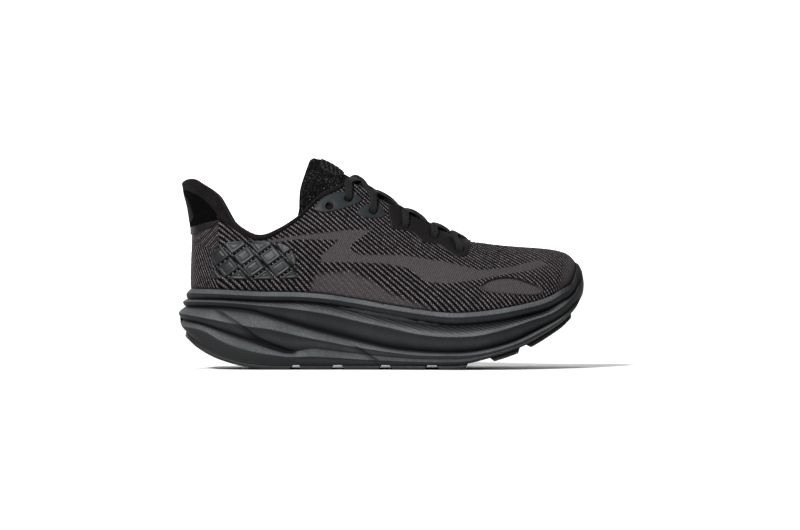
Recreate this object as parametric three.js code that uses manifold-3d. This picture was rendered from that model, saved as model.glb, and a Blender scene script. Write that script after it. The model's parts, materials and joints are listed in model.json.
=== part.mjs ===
// A running shoe for the right foot, in millimetres.
// +X points to the toe, +Z up and -Y to the outer (lateral) side; the tread stands on z = 0.
import * as THREE from 'three';
import { mergeVertices } from 'three/addons/utils/BufferGeometryUtils.js';
import Module from 'manifold-3d';

const wasm = await Module();
wasm.setup();

// ---------- driving dimensions ----------
const LATERAL = -1;
const MEDIAL = 1;
const SIDES = [[LATERAL, 'lateral'], [MEDIAL, 'medial']];
const GAP = 0.35; // air kept between touching pieces
const KNIT = 1.8; // thickness of the knitted upper
const FILM = 0.8; // thickness of a bonded film
const FILM_GAP = 0.5; // air under a film, which spans the facets of the knit
const COUNTER = 1.5; // thickness of the moulded heel counter
const TOE_PUFF = 0.8; // thickness of the toe stiffener
const LINING = 1.0;
const GUSSET = 0.8; // thickness of the elastic beside the tongue
const TREAD = 3.0; // thickness of a rubber tread pod
const BOARD = 1.5; // thickness of the stitched-in insole board
const INSOLE_FOAM = 4.0;
const INSOLE_CLOTH = 0.7;
const LACE_WIDTH = 4.6;
const LACE_THICK = 1.5;
const LACE_HOLE = 3.4; // radius of a lace hole
const AGLET = { length: 16, radius: 1.7 };

// Height of the insole board, of the foam rim and of the tread along the shoe: [x, z].
const footbedLine = [
  [-140, 35], [-100, 33], [-50, 31.5], [0, 29], [45, 27], [80, 29.5], [110, 36], [130, 43], [145, 50],
];
const rimLine = [
  [-150, 59], [-120, 58.5], [-88, 57], [-60, 56.5], [-40, 55], [-20, 52], [6, 47.5], [28, 44],
  [53, 41.6], [80, 43.5], [107, 48.3], [124, 53], [136, 59], [145, 63.5], [148.5, 69], [151, 82],
];
const treadLine = [
  [-150, 40], [-146, 27], [-140, 20.5], [-133, 15], [-122, 9], [-110, 4.8], [-98, 2], [-85, 0.5],
  [-70, 0], [0, 0], [50, 0], [62, 1], [82, 6], [100, 12], [112, 17.5], [124, 24.7], [134, 31.5],
  [141, 38.5], [146, 46], [151, 58],
];

// Plan of the foam sole, heel to toe: [x, lateral half width, medial half width].
const TOE_SHIFT = 4; // the toe tip leans to the medial side
const solePlan = [
  [-150, 0, 0], [-146.5, 20, 20], [-135, 35, 34.5], [-115, 44, 43], [-90, 47, 44], [-60, 46, 41.5],
  [-30, 44.5, 40], [0, 47, 41.5], [28, 52, 46], [55, 56.5, 51.5], [80, 57, 54.5], [105, 51, 52],
  [128, 36, 43], [144, 15, 26], [150.2, -TOE_SHIFT, TOE_SHIFT],
];
// Side wall of the foam: [share of its height, distance in from the widest outline].
const wallProfile = [
  [0, 5.5], [0.1, 2.4], [0.28, 0.3], [0.48, 0], [0.64, 1.2], [0.78, 3.4], [0.86, 2.4], [1, 3],
];
const HEEL_TUCK = 4; // how much further the rim is drawn in at the heel
const POD_EDGE = 5.5; // how far the tread pods stay in from the widest outline
const insoleInset = [[-140, 7.5], [-60, 7], [-30, 6.5], [80, 4.5], [110, 4.8], [145, 5]];

// The upper is a band round the foot. Each station is one strip of it, from the insole board up to
// the edge of the opening: foot [x, y], two shaping points [x, y, z], edge [x, y, z], and how much
// of the lateral width the medial side has.
const stations = [
  { foot: [-133, 0], low: [-151, 0, 62], high: [-129, 0, 105], edge: [-148.6, 0, 138.4], medial: 1 },
  { foot: [-129, 15], low: [-144, 21, 62], high: [-127.5, 18, 103], edge: [-139.5, 15, 139.5], medial: 1 },
  { foot: [-118, 26], low: [-124, 36, 62], high: [-120, 30, 97], edge: [-121, 23.5, 129.5], medial: 1 },
  { foot: [-100, 31], low: [-104, 43, 60], high: [-107, 36, 90], edge: [-105, 29, 107], medial: 0.97 },
  { foot: [-80, 32], low: [-82, 45, 58], high: [-86, 38, 84], edge: [-87, 31, 99], medial: 0.94 },
  { foot: [-58, 32], low: [-59, 46, 58], high: [-64, 39, 90], edge: [-63, 29.5, 112], medial: 0.92 },
  { foot: [-35, 32.5], low: [-36, 48, 58], high: [-44, 39, 100], edge: [-43, 25, 131], medial: 0.92 },
  { foot: [-8, 36], low: [-10, 52, 56], high: [-20, 39, 100], edge: [-21, 18, 137], medial: 0.93 },
  { foot: [20, 41], low: [18, 57, 52], high: [4, 42, 90], edge: [3, 16, 123.4], medial: 0.95 },
  { foot: [48, 46], low: [47, 62, 50], high: [30, 44, 82], edge: [28, 14, 109.4], medial: 0.98 },
  { foot: [80, 46], low: [84, 62, 52], high: [58, 42, 80], edge: [51, 11, 98.4], medial: 1.02 },
  { foot: [112, 36], low: [122, 52, 62], high: [88, 28, 83], edge: [66, 7, 94.2], medial: 1.1 },
  { foot: [130, 19], low: [148, 29, 86], high: [111, 15, 86], edge: [71, 3.5, 93.3], medial: 1.3 },
  {
    foot: [138, -TOE_SHIFT], low: [161.5, -TOE_SHIFT, 99], high: [124, -2, 84.5], edge: [73, 0, 93],
    medial: -1,
  },
];
const LAST = stations.length - 1; // index of the toe station
const STATION_STEPS = 2; // columns of facets to a station
const RING_STEPS = 2 * LAST * STATION_STEPS;
const SKIN_ROWS = 8;

// The knit stops short of the opening where the padded collar shows: [station, share of the strip].
const knitTop = [[0, 0.68], [1, 0.7], [1.8, 0.77], [2.4, 0.86], [3, 0.93], [5, 0.955], [6.5, 0.955], [7, 1]];
const TAB_STATION = 1.9; // the flared heel tab reaches this far round each side
const COUNTER_STATION = 3.6; // and the heel counter this far
const COLLAR_STATION = 5.5; // and the collar's padding this far
const BINDING_STATION = 6.5; // and its rolled edge this far
const TAB_COVER = 1.4;
const TAB_FOAM = 4.5;

// Lace holes from the toe end up, and the spare one: [x, z] on the side wall.
const laceHoles = [[57.7, 87.5], [39, 97.5], [17.7, 105.5], [-5.7, 115.5], [-24, 124.5]];
const spareHole = [-38, 119.5];

// Outlines of bonded pieces in side view: [x, z].
const topPatchOutline = [
  [-49, 117.5], [-43, 125], [-35, 129], [-27, 130], [-15, 126.5], [-15.5, 122], [-25, 118.5],
  [-35, 115.5], [-44, 115],
];
const secondPatchOutline = [
  [-17, 115.5], [-13, 119.5], [-6, 121.5], [1, 118.5], [3.5, 112.5], [-3, 110.5], [-13, 111.5],
];
const eyestayOutline = [
  [7, 121], [7, 106.5], [9, 103], [22, 100.5], [30, 93.5], [41, 91.5], [49, 86], [54, 83], [61, 82.5],
  [65, 87], [63, 104], [30, 120],
];
const quarterPatchOutline = [[-124, 71], [-118, 92], [-70, 92], [-60, 71], [-66, 66], [-118, 66]];
const overlayOutline = [
  [72, 60], [80, 66], [96, 67.5], [112, 62.5], [119, 57.5], [112, 54.5], [96, 55], [80, 56.5],
];

// Tongue centre line from its front end to its top, [x, z], and its cross-section there:
// [half width, drop of the sides].
const tongueLine = [
  [74, 84.5], [62, 89.3], [48, 95.4], [28, 106.2], [6, 119.5], [-15, 133.8], [-33, 148.2], [-52, 155.2],
];
const tongueSection = [
  [15, 6], [17, 8], [18.5, 10.5], [20, 13.5], [19, 17], [17, 22], [17, 32], [19.5, 38],
];
const TONGUE_ARC = THREE.MathUtils.degToRad(88);
const TONGUE_FOLD = 0.745; // share of the tongue's length at which its free top folds
const TONGUE_COVER = 1.2;
const TONGUE_FOAM_BASE = 3.0;
const TONGUE_FOAM_TOP = 6.5;
const LABEL_SPAN = [0.8, 0.96]; // shares of the tongue's length between which the label lies
const LABEL_REACH = 0.42; // share of the tongue's half width that it covers

// ---------- curves ----------
// A smooth height through the points [x, z], level wherever it turns or runs flat.
function lineThrough(points) {
  const slope = points.map((p, i) => {
    const before = points[Math.max(i - 1, 0)];
    const after = points[Math.min(i + 1, points.length - 1)];
    const inside = before !== p && after !== p;
    if (inside && (p[1] - before[1]) * (after[1] - p[1]) <= 0) return 0;
    return (after[1] - before[1]) / (after[0] - before[0]);
  });
  return (x) => {
    const last = points.length - 2;
    let i = points.findIndex((p) => p[0] > x) - 1;
    if (i < 0) i = x <= points[0][0] ? 0 : last;
    const [x0, z0] = points[i];
    const [x1, z1] = points[i + 1];
    const span = x1 - x0;
    const t = THREE.MathUtils.clamp((x - x0) / span, 0, 1);
    const rise = (1 - t) * (1 - t) * (z0 * (1 + 2 * t) + slope[i] * span * t);
    return rise + t * t * (z1 * (3 - 2 * t) - slope[i + 1] * span * (1 - t));
  };
}
const footbedHeight = lineThrough(footbedLine);
const rimHeight = lineThrough(rimLine);
const treadHeight = lineThrough(treadLine);
const knitTopShare = lineThrough(knitTop);
// How far up its strip the knit reaches, at a station on either side.
const knitShare = (station) => knitTopShare(Math.abs(station > LAST ? 2 * LAST - station : station));

// A closed curve through points given heel centre, lateral side, toe, medial side.
// Its parameter is the station number: 0 heel, LAST toe, negative on the medial side.
function loopThrough(lateral, medial) {
  const ends = lateral.length - 1;
  const points = [...lateral, ...medial.slice(1, ends).reverse()].map((p) => new THREE.Vector3(...p));
  const curve = new THREE.CatmullRomCurve3(points, true, 'catmullrom', 0.5);
  return (station) => curve.getPoint(THREE.MathUtils.euclideanModulo(station / (2 * ends), 1));
}

const lateralStrips = { foot: [], low: [], high: [], edge: [] };
const medialStrips = { foot: [], low: [], high: [], edge: [] };
for (const station of stations) {
  const foot = [...station.foot, footbedHeight(station.foot[0])];
  const strip = { ...station, foot };
  for (const name of ['foot', 'low', 'high', 'edge']) {
    const [x, y, z] = strip[name];
    const share = name === 'edge' && station.medial > 0 ? 1 : station.medial;
    lateralStrips[name].push([x, LATERAL * y, z]);
    medialStrips[name].push([x, MEDIAL * y * share, z]);
  }
}
const strips = {};
for (const name of Object.keys(lateralStrips)) {
  strips[name] = loopThrough(lateralStrips[name], medialStrips[name]);
}

// A point of the upper's outer face: station round the shoe, share up the strip from 0 to 1.
function facePoint(station, share) {
  const curve = new THREE.CubicBezierCurve3(
    strips.foot(station), strips.low(station), strips.high(station), strips.edge(station));
  return curve.getPoint(share);
}
function faceNormal(station, share) {
  const step = 0.02;
  const s = THREE.MathUtils.clamp(share, step, 1 - step);
  const along = facePoint(station + step, s).sub(facePoint(station - step, s));
  const up = facePoint(station, s + step).sub(facePoint(station, s - step));
  return along.cross(up).normalize();
}
// The same point moved out by a distance, or in by a negative one.
function skinPoint(station, share, out) {
  return facePoint(station, share).addScaledVector(faceNormal(station, share), out);
}
// The station and share of the face point seen at [x, z] on one side of the shoe.
function findOnFace([x, z], side) {
  const stationStep = 0.05;
  const shareStep = 0.01;
  let best = { distance: Infinity };
  for (let station = 1; station < LAST; station += stationStep) {
    for (let share = 0.2; share <= 1; share += shareStep) {
      const p = facePoint(-side * station, share);
      const distance = Math.hypot(p.x - x, p.z - z);
      if (distance < best.distance) best = { distance, station: -side * station, share };
    }
  }
  return best;
}

// ---------- solids ----------
const group = new THREE.Group();
function add(name, geometry, colour, roughness = 0.9) {
  const material = new THREE.MeshStandardMaterial({ color: colour, roughness, metalness: 0 });
  const mesh = new THREE.Mesh(geometry, material);
  mesh.name = name;
  group.add(mesh);
}

function geometryFrom(points, triangles) {
  const geometry = new THREE.BufferGeometry();
  const coordinates = points.flatMap((p) => [p.x, p.y, p.z]);
  geometry.setAttribute('position', new THREE.Float32BufferAttribute(coordinates, 3));
  geometry.setIndex(triangles);
  const merged = mergeVertices(geometry, 1e-3);
  return outward(dropSlivers(merged));
}
// Removes triangles whose corners were merged into one another.
function dropSlivers(geometry) {
  const index = geometry.index.array;
  const kept = [];
  for (let i = 0; i < index.length; i += 3) {
    const [a, b, c] = [index[i], index[i + 1], index[i + 2]];
    if (a !== b && b !== c && a !== c) kept.push(a, b, c);
  }
  geometry.setIndex(kept);
  return geometry;
}
// Turns the faces round if the solid is inside out.
function outward(geometry) {
  const at = geometry.attributes.position;
  const index = geometry.index.array;
  const corner = (i) => new THREE.Vector3().fromBufferAttribute(at, index[i]);
  let volume = 0;
  for (let i = 0; i < index.length; i += 3) {
    volume += corner(i).dot(corner(i + 1).cross(corner(i + 2)));
  }
  if (volume < 0) {
    for (let i = 0; i < index.length; i += 3) [index[i], index[i + 1]] = [index[i + 1], index[i]];
  }
  return geometry;
}

// A closed plate between two surfaces, each a function of (u, v) from 0 to 1.
function plate(front, back, uSteps, vSteps, round = false) {
  const points = [];
  const columns = round ? uSteps : uSteps + 1;
  const at = (layer, i, j) => (layer * columns + (i % columns)) * (vSteps + 1) + j;
  for (const surface of [front, back]) {
    for (let i = 0; i < columns; i += 1) {
      for (let j = 0; j <= vSteps; j += 1) points.push(surface(i / uSteps, j / vSteps));
    }
  }
  const triangles = [];
  const quad = (a, b, c, d) => triangles.push(a, b, c, a, c, d);
  for (let i = 0; i < uSteps; i += 1) {
    for (let j = 0; j < vSteps; j += 1) {
      quad(at(0, i, j), at(0, i + 1, j), at(0, i + 1, j + 1), at(0, i, j + 1));
      quad(at(1, i, j), at(1, i, j + 1), at(1, i + 1, j + 1), at(1, i + 1, j));
    }
    quad(at(0, i, 0), at(1, i, 0), at(1, i + 1, 0), at(0, i + 1, 0));
    quad(at(0, i, vSteps), at(0, i + 1, vSteps), at(1, i + 1, vSteps), at(1, i, vSteps));
  }
  if (!round) {
    for (let j = 0; j < vSteps; j += 1) {
      quad(at(0, 0, j), at(0, 0, j + 1), at(1, 0, j + 1), at(1, 0, j));
      quad(at(0, uSteps, j), at(1, uSteps, j), at(1, uSteps, j + 1), at(0, uSteps, j + 1));
    }
  }
  return geometryFrom(points, triangles);
}

// A closed body through rings of points, each ring heel - lateral - toe - medial with the same
// number of points. Its two ends are closed across, from each lateral point to its medial partner.
function ringBody(rings, acrossSteps, lowShape, highShape) {
  const count = rings[0].length;
  const half = count / 2;
  const points = rings.flat().map((p) => p.clone());
  const triangles = [];
  const quad = (a, b, c, d) => triangles.push(a, b, c, a, c, d);
  for (let r = 0; r + 1 < rings.length; r += 1) {
    for (let i = 0; i < count; i += 1) {
      const next = (i + 1) % count;
      quad(r * count + i, r * count + next, (r + 1) * count + next, (r + 1) * count + i);
    }
  }
  const close = (ring, offset, shape, flip) => {
    const rows = [];
    for (let i = 0; i <= half; i += 1) {
      const partner = (count - i) % count;
      const row = [offset + i];
      for (let k = 1; k < acrossSteps; k += 1) {
        const p = ring[i].clone().lerp(ring[partner], k / acrossSteps);
        row.push(points.length);
        points.push(shape(p));
      }
      row.push(offset + partner);
      rows.push(row);
    }
    for (let i = 0; i < half; i += 1) {
      for (let k = 0; k < acrossSteps; k += 1) {
        const corners = [rows[i][k], rows[i + 1][k], rows[i + 1][k + 1], rows[i][k + 1]];
        if (flip) corners.reverse();
        quad(...corners);
      }
    }
  };
  close(rings[0], 0, lowShape, true);
  close(rings[rings.length - 1], (rings.length - 1) * count, highShape, false);
  return geometryFrom(points, triangles);
}

function toManifold(geometry) {
  const bare = geometry.clone();
  bare.deleteAttribute('normal');
  bare.deleteAttribute('uv');
  const merged = mergeVertices(bare, 1e-4);
  return new wasm.Manifold(new wasm.Mesh({
    numProp: 3,
    vertProperties: new Float32Array(merged.attributes.position.array),
    triVerts: new Uint32Array(merged.index.array),
  }));
}
function fromManifold(solid) {
  const mesh = solid.getMesh();
  const geometry = new THREE.BufferGeometry();
  geometry.setAttribute('position', new THREE.BufferAttribute(mesh.vertProperties, 3));
  geometry.setIndex(new THREE.BufferAttribute(mesh.triVerts, 1));
  return geometry;
}
function cutAll(geometry, cutters) {
  let solid = toManifold(geometry);
  for (const cutter of cutters) solid = solid.subtract(toManifold(cutter));
  return fromManifold(solid);
}

// A prism that stands out sideways from a side-view outline.
const PRISM_REACH = 90;
function sidePrism(outline, side) {
  const shape = new THREE.Shape(outline.map(([x, z]) => new THREE.Vector2(x, z)));
  const geometry = new THREE.ExtrudeGeometry(shape, { depth: PRISM_REACH, bevelEnabled: false });
  geometry.rotateX(Math.PI / 2);
  if (side === MEDIAL) geometry.translate(0, PRISM_REACH, 0);
  return geometry;
}
function smoothOutline(points, samples) {
  const corners = points.map(([x, z]) => new THREE.Vector3(x, 0, z));
  const curve = new THREE.CatmullRomCurve3(corners, true, 'catmullrom', 0.5);
  return curve.getPoints(samples).slice(0, samples).map((p) => [p.x, p.z]);
}

// ---------- foam sole and tread ----------
const soleLoop = loopThrough(
  solePlan.map(([x, lateral]) => [x, LATERAL * lateral, 0]),
  solePlan.map(([x, , medial]) => [x, MEDIAL * medial, 0]));
const SOLE_STATIONS = solePlan.length - 1;

// A point of the tread surface under [x, y], moved up into the sole by a distance.
function treadPoint(x, y, into) {
  const step = 0.5;
  const slope = (treadHeight(x + step) - treadHeight(x - step)) / (2 * step);
  const length = Math.hypot(1, slope);
  return new THREE.Vector3(x - (slope * into) / length, y, treadHeight(x) + into / length);
}
// The sole outline at a station, moved in towards the middle.
function soleEdge(station, inset) {
  const step = 0.05;
  const p = soleLoop(station);
  const along = soleLoop(station + step).sub(soleLoop(station - step)).normalize();
  return new THREE.Vector3(p.x - along.y * inset, p.y + along.x * inset, 0);
}
function soleRing(share, inset) {
  const ring = [];
  for (let i = 0; i < RING_STEPS; i += 1) {
    const station = (i / RING_STEPS) * 2 * SOLE_STATIONS;
    const outerX = soleLoop(station).x;
    const atHeel = 1 - THREE.MathUtils.smoothstep(outerX, -135, -60);
    const edge = soleEdge(station, inset + HEEL_TUCK * atHeel * share ** 3);
    const lowest = treadPoint(edge.x, edge.y, TREAD + GAP);
    const x = THREE.MathUtils.lerp(lowest.x, edge.x, Math.min(1, share * 4));
    const height = THREE.MathUtils.lerp(lowest.z, rimHeight(outerX), share);
    ring.push(new THREE.Vector3(x, edge.y, height));
  }
  return ring;
}
// The inside of the shoe as one solid: the upper's outer face moved out by a distance.
function cavityBody(out) {
  const rings = [];
  for (let row = 0; row <= SKIN_ROWS; row += 1) {
    const ring = [];
    for (let i = 0; i < RING_STEPS; i += 1) {
      const station = i / STATION_STEPS;
      ring.push(skinPoint(station, (row / SKIN_ROWS) * knitShare(station), out));
    }
    rings.push(ring);
  }
  for (const p of rings[0]) p.z -= out;
  const onFootbed = (p) => p.setZ(footbedHeight(p.x) - out);
  return ringBody(rings, 4, onFootbed, (p) => p);
}
function makeMidsole() {
  const rings = wallProfile.map(([share, inset]) => soleRing(share, inset));
  const onTread = (p) => treadPoint(p.x, p.y, TREAD + GAP);
  const body = ringBody(rings, 6, onTread, (p) => p);
  return cutAll(body, [cavityBody(GAP)]);
}
add('midsole', makeMidsole(), 0x3a3c3f, 0.8);

// How far the pods reach at x on one side of the shoe.
function podReach(x, side) {
  const step = 0.02;
  let best = { distance: Infinity };
  for (let station = 0; station <= SOLE_STATIONS; station += step) {
    const edge = soleEdge(-side * station, POD_EDGE);
    const distance = Math.abs(edge.x - x);
    if (distance < best.distance) best = { distance, y: edge.y };
  }
  return best.y;
}
// A tread pod from one x to another; yRange gives where it starts and ends across the shoe at x.
function makePod(from, to, yRange, vSteps) {
  const facet = 9;
  const surface = (into) => (u, v) => {
    const x = THREE.MathUtils.lerp(from, to, u);
    const [start, end] = yRange(x);
    return treadPoint(x, THREE.MathUtils.lerp(start, end, v), into);
  };
  const steps = Math.max(3, Math.round((to - from) / facet));
  return plate(surface(0), surface(TREAD), steps, vSteps);
}
const TREAD_COLOUR = 0x1c1c1e;
// The pods that lie in pairs; inner is the share of the half width at which they start.
const pods = [
  { name: 'outsole_heel', from: -145, to: -66, inner: 0.3 },
  { name: 'outsole_midfoot_rear', from: -58, to: -36, inner: 0.42 },
  { name: 'outsole_midfoot_front', from: -27, to: -1, inner: 0.42 },
  { name: 'outsole_forefoot_rear', from: 8, to: 32.5, inner: 0.12 },
  { name: 'outsole_forefoot_middle', from: 42, to: 62.5, inner: 0.12 },
  { name: 'outsole_forefoot_front', from: 82, to: 101, inner: 0.12 },
];
for (const { name, from, to, inner } of pods) {
  for (const [side, label] of SIDES) {
    const yRange = (x) => [podReach(x, side) * inner, podReach(x, side)];
    add(`${name}_${label}`, makePod(from, to, yRange, 2), TREAD_COLOUR);
  }
}
const TOE_POD_SHARE = 0.93;
const toeRange = (x) => [podReach(x, LATERAL) * TOE_POD_SHARE, podReach(x, MEDIAL) * TOE_POD_SHARE];
add('outsole_toe', makePod(109, 141, toeRange, 5), TREAD_COLOUR);

// ---------- insole board and removable insole ----------
function footbedPoint(x, y, lift) {
  return new THREE.Vector3(x, y, footbedHeight(x) + lift);
}
// A plate on the footbed whose edge stays in from the upper's foot line.
function footPlate(inset, low, high) {
  const ring = (lift) => {
    const points = [];
    for (let i = 0; i < RING_STEPS; i += 1) {
      const station = (i / RING_STEPS) * 2 * LAST;
      const foot = facePoint(station, 0);
      const out = faceNormal(station, 0).setZ(0).normalize();
      const edge = foot.clone().addScaledVector(out, -inset(foot.x));
      points.push(footbedPoint(edge.x, edge.y, lift));
    }
    return points;
  };
  const level = (lift) => (p) => footbedPoint(p.x, p.y, lift);
  return ringBody([ring(low), ring(high)], 2, level(low), level(high));
}
const boardInset = KNIT + GAP + 0.4;
add('insole_board', footPlate(() => boardInset, 0, BOARD), 0x9a958c);
const insoleEdge = lineThrough(insoleInset);
const insoleLow = BOARD + GAP;
add('insole_foam', footPlate(insoleEdge, insoleLow, insoleLow + INSOLE_FOAM), 0x2f3033);
const clothLow = insoleLow + INSOLE_FOAM + GAP;
add('insole_cloth', footPlate(insoleEdge, clothLow, clothLow + INSOLE_CLOTH), 0x3d3d40);

// ---------- layers of the upper ----------
// A layer over a range of stations, between two shares of the strip and two distances out.
function layer({ from, to, low, high, outer, inner, uSteps, vSteps }) {
  const surface = (out) => (u, v) => {
    const station = THREE.MathUtils.lerp(from, to, u);
    const share = THREE.MathUtils.lerp(low(station), high(station), v);
    return skinPoint(station, share, out(station, share));
  };
  return plate(surface(outer), surface(inner), uSteps, vSteps, to - from === 2 * LAST);
}
const constant = (value) => () => value;

// Lace holes are drilled along the local normal, through knit and film alike.
function drill(spot, side) {
  const { station, share } = findOnFace(spot, side);
  const depth = 12;
  const geometry = new THREE.CylinderGeometry(LACE_HOLE, LACE_HOLE, depth, 8);
  const up = new THREE.Vector3(0, 1, 0);
  geometry.applyQuaternion(new THREE.Quaternion().setFromUnitVectors(up, faceNormal(station, share)));
  const centre = facePoint(station, share);
  return geometry.translate(centre.x, centre.y, centre.z);
}
const drills = {};
for (const [side] of SIDES) {
  drills[side] = [...laceHoles, spareHole].map((spot) => drill(spot, side));
}

const knit = layer({
  from: 0, to: 2 * LAST, low: constant(0), high: knitShare,
  outer: constant(0), inner: constant(-KNIT), uSteps: RING_STEPS, vSteps: SKIN_ROWS,
});
add('knit_upper', cutAll(knit, [...drills[LATERAL], ...drills[MEDIAL]]), 0x4a4647, 1);

const heelSpan = (reach) => ({ from: -reach, to: reach });
const counterOut = -KNIT - GAP;
add('heel_counter', layer({
  ...heelSpan(COUNTER_STATION), low: constant(0.06), high: constant(0.56),
  outer: constant(counterOut), inner: constant(counterOut - COUNTER), uSteps: 14, vSteps: 4,
}), 0xd8d4c8, 0.6);
const TOE_PUFF_STATION = 11;
add('toe_puff', layer({
  from: TOE_PUFF_STATION, to: 2 * LAST - TOE_PUFF_STATION,
  low: constant(1 / SKIN_ROWS), high: constant(4 / SKIN_ROWS),
  outer: constant(counterOut), inner: constant(counterOut - TOE_PUFF), uSteps: 8, vSteps: 3,
}), 0xcfcabd, 0.7);

// Padded collar: foam behind the knit, a lining inside it, a rolled binding on the edge.
const FOAM_COLOUR = 0xd9cfa8;
const LINING_COLOUR = 0x1b1a1b;
const LINING_GAP = 0.9; // air between the foam and the lining
const foamOut = counterOut - COUNTER - GAP;
const foamThick = (station, share) => 1 + 4.5 * THREE.MathUtils.smoothstep(share, 0.5, 0.75);
const liningOut = (station, share) => foamOut - foamThick(station, share) - LINING_GAP;
const rollLow = (station) => knitShare(station) + 0.014;
const foamHigh = (station) => Math.min(knitShare(station) - 0.01, 0.93);
add('collar_foam', layer({
  ...heelSpan(COLLAR_STATION), low: constant(0.52), high: foamHigh,
  outer: constant(foamOut), inner: (s, v) => foamOut - foamThick(s, v), uSteps: 22, vSteps: 4,
}), FOAM_COLOUR, 1);
add('collar_lining', layer({
  ...heelSpan(COLLAR_STATION), low: constant(0.1), high: foamHigh,
  outer: liningOut, inner: (s, v) => liningOut(s, v) - LINING, uSteps: 22, vSteps: 6,
}), LINING_COLOUR, 1);
// The binding is as deep as the padding beside it, and thins out towards its front end.
function bindingInner(station) {
  const padded = LINING - liningOut(station, foamHigh(station));
  const forward = THREE.MathUtils.smoothstep(Math.abs(station), 3.8, COLLAR_STATION);
  return -THREE.MathUtils.lerp(padded, KNIT + 2.2, forward);
}
for (const [side, label] of SIDES) {
  const ends = [-side * (TAB_STATION + 0.06), -side * BINDING_STATION].sort((a, b) => a - b);
  add(`collar_binding_${label}`, layer({
    from: ends[0], to: ends[1], low: rollLow, high: constant(1),
    outer: constant(0.6), inner: bindingInner, uSteps: 14, vSteps: 2,
  }), 0x232122, 1);
}

// Flared heel tab: outer cover, foam and lining, above the seam.
const tabLayer = { ...heelSpan(TAB_STATION - 0.06), low: rollLow, uSteps: 10, vSteps: 4 };
const tabFoamOut = -TAB_COVER - GAP;
const tabLiningOut = tabFoamOut - TAB_FOAM - GAP;
add('heel_tab_cover', layer({
  ...tabLayer, high: constant(1), outer: constant(0), inner: constant(-TAB_COVER),
}), 0x161516, 1);
add('heel_tab_foam', layer({
  ...tabLayer, high: constant(0.985),
  outer: constant(tabFoamOut), inner: constant(tabFoamOut - TAB_FOAM),
}), FOAM_COLOUR, 1);
add('heel_tab_lining', layer({
  ...tabLayer, high: constant(1),
  outer: constant(tabLiningOut), inner: constant(tabLiningOut - LINING),
}), LINING_COLOUR, 1);

// Bonded films on the outside of the knit.
const FILM_OUT = FILM_GAP + FILM;
const FILM_COLOUR = 0x37393c;
const OUTLINE_SAMPLES = 24;
add('heel_seam_film', layer({
  ...heelSpan(TAB_STATION - 0.1), low: (s) => knitShare(s) - 0.05, high: (s) => knitShare(s) - 0.004,
  outer: constant(FILM_OUT), inner: constant(FILM_GAP), uSteps: 10, vSteps: 1,
}), FILM_COLOUR, 0.6);

// A film with a side-view outline, bonded on one side. It spans whole columns of the knit's facets.
function film({ outline, side, from, to, holes }) {
  const area = layer({
    from: Math.min(-side * from, -side * to), to: Math.max(-side * from, -side * to),
    low: constant(0), high: knitShare, outer: constant(FILM_OUT), inner: constant(FILM_GAP),
    uSteps: (to - from) * STATION_STEPS, vSteps: SKIN_ROWS,
  });
  const prism = sidePrism(smoothOutline(outline, OUTLINE_SAMPLES), side);
  let solid = toManifold(area).intersect(toManifold(prism));
  for (const hole of holes ? drills[side] : []) solid = solid.subtract(toManifold(hole));
  return fromManifold(solid);
}
const films = [
  { name: 'top_eyelet_patch', outline: topPatchOutline, from: 4, to: 8, holes: true },
  { name: 'second_eyelet_patch', outline: secondPatchOutline, from: 6, to: 9, holes: true },
  { name: 'eyestay_film', outline: eyestayOutline, from: 7, to: 13, holes: true },
  { name: 'quarter_patch', outline: quarterPatchOutline, from: 1, to: 6 },
  { name: 'forefoot_overlay', outline: overlayOutline, from: 8, to: 13 },
];
for (const [side, label] of SIDES) {
  for (const { name, ...rest } of films) {
    add(`${name}_${label}`, film({ side, ...rest }), FILM_COLOUR, 0.6);
  }
}

// ---------- tongue ----------
const tongueShares = tongueLine.map((p, i) => i / (tongueLine.length - 1));
const tongueX = lineThrough(tongueLine.map((p, i) => [tongueShares[i], p[0]]));
const tongueZ = lineThrough(tongueLine.map((p, i) => [tongueShares[i], p[1]]));
const tongueWidth = lineThrough(tongueSection.map((p, i) => [tongueShares[i], p[0]]));
const tongueDrop = lineThrough(tongueSection.map((p, i) => [tongueShares[i], p[1]]));
// A point of the tongue: share along it, -1 to 1 across it, distance below its top face.
function tonguePoint(along, across, below) {
  const step = 0.01;
  const a = THREE.MathUtils.clamp(along, step, 1 - step);
  const run = tongueX(a + step) - tongueX(a - step);
  const rise = tongueZ(a + step) - tongueZ(a - step);
  const slope = new THREE.Vector2(run, rise).normalize();
  const lean = THREE.MathUtils.lerp(1, 0.8, THREE.MathUtils.smoothstep(along, 0.6, 1));
  const down = new THREE.Vector2(-slope.y * lean, slope.x).normalize();
  const angle = across * TONGUE_ARC;
  const width = tongueWidth(along) - below;
  const drop = tongueDrop(along) * (1 - Math.cos(angle)) + below * Math.cos(angle);
  const x = tongueX(along) + down.x * drop;
  return new THREE.Vector3(x, width * Math.sin(angle), tongueZ(along) + down.y * drop);
}
function tongueLayer({ from, to, above, below, reach, uSteps }) {
  const surface = (depth) => (u, v) => {
    const along = THREE.MathUtils.lerp(from, to, u);
    return tonguePoint(along, THREE.MathUtils.lerp(-reach, reach, v), depth);
  };
  return plate(surface(above), surface(below), uSteps, 8);
}
const FOLD_GAP = 0.006; // share of the tongue's length left free on each side of the fold
const tongueParts = [
  { name: 'tongue_base', from: 0, to: TONGUE_FOLD - FOLD_GAP, foam: TONGUE_FOAM_BASE, uSteps: 9 },
  { name: 'tongue_top', from: TONGUE_FOLD + FOLD_GAP, to: 1, foam: TONGUE_FOAM_TOP, uSteps: 4 },
];
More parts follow.
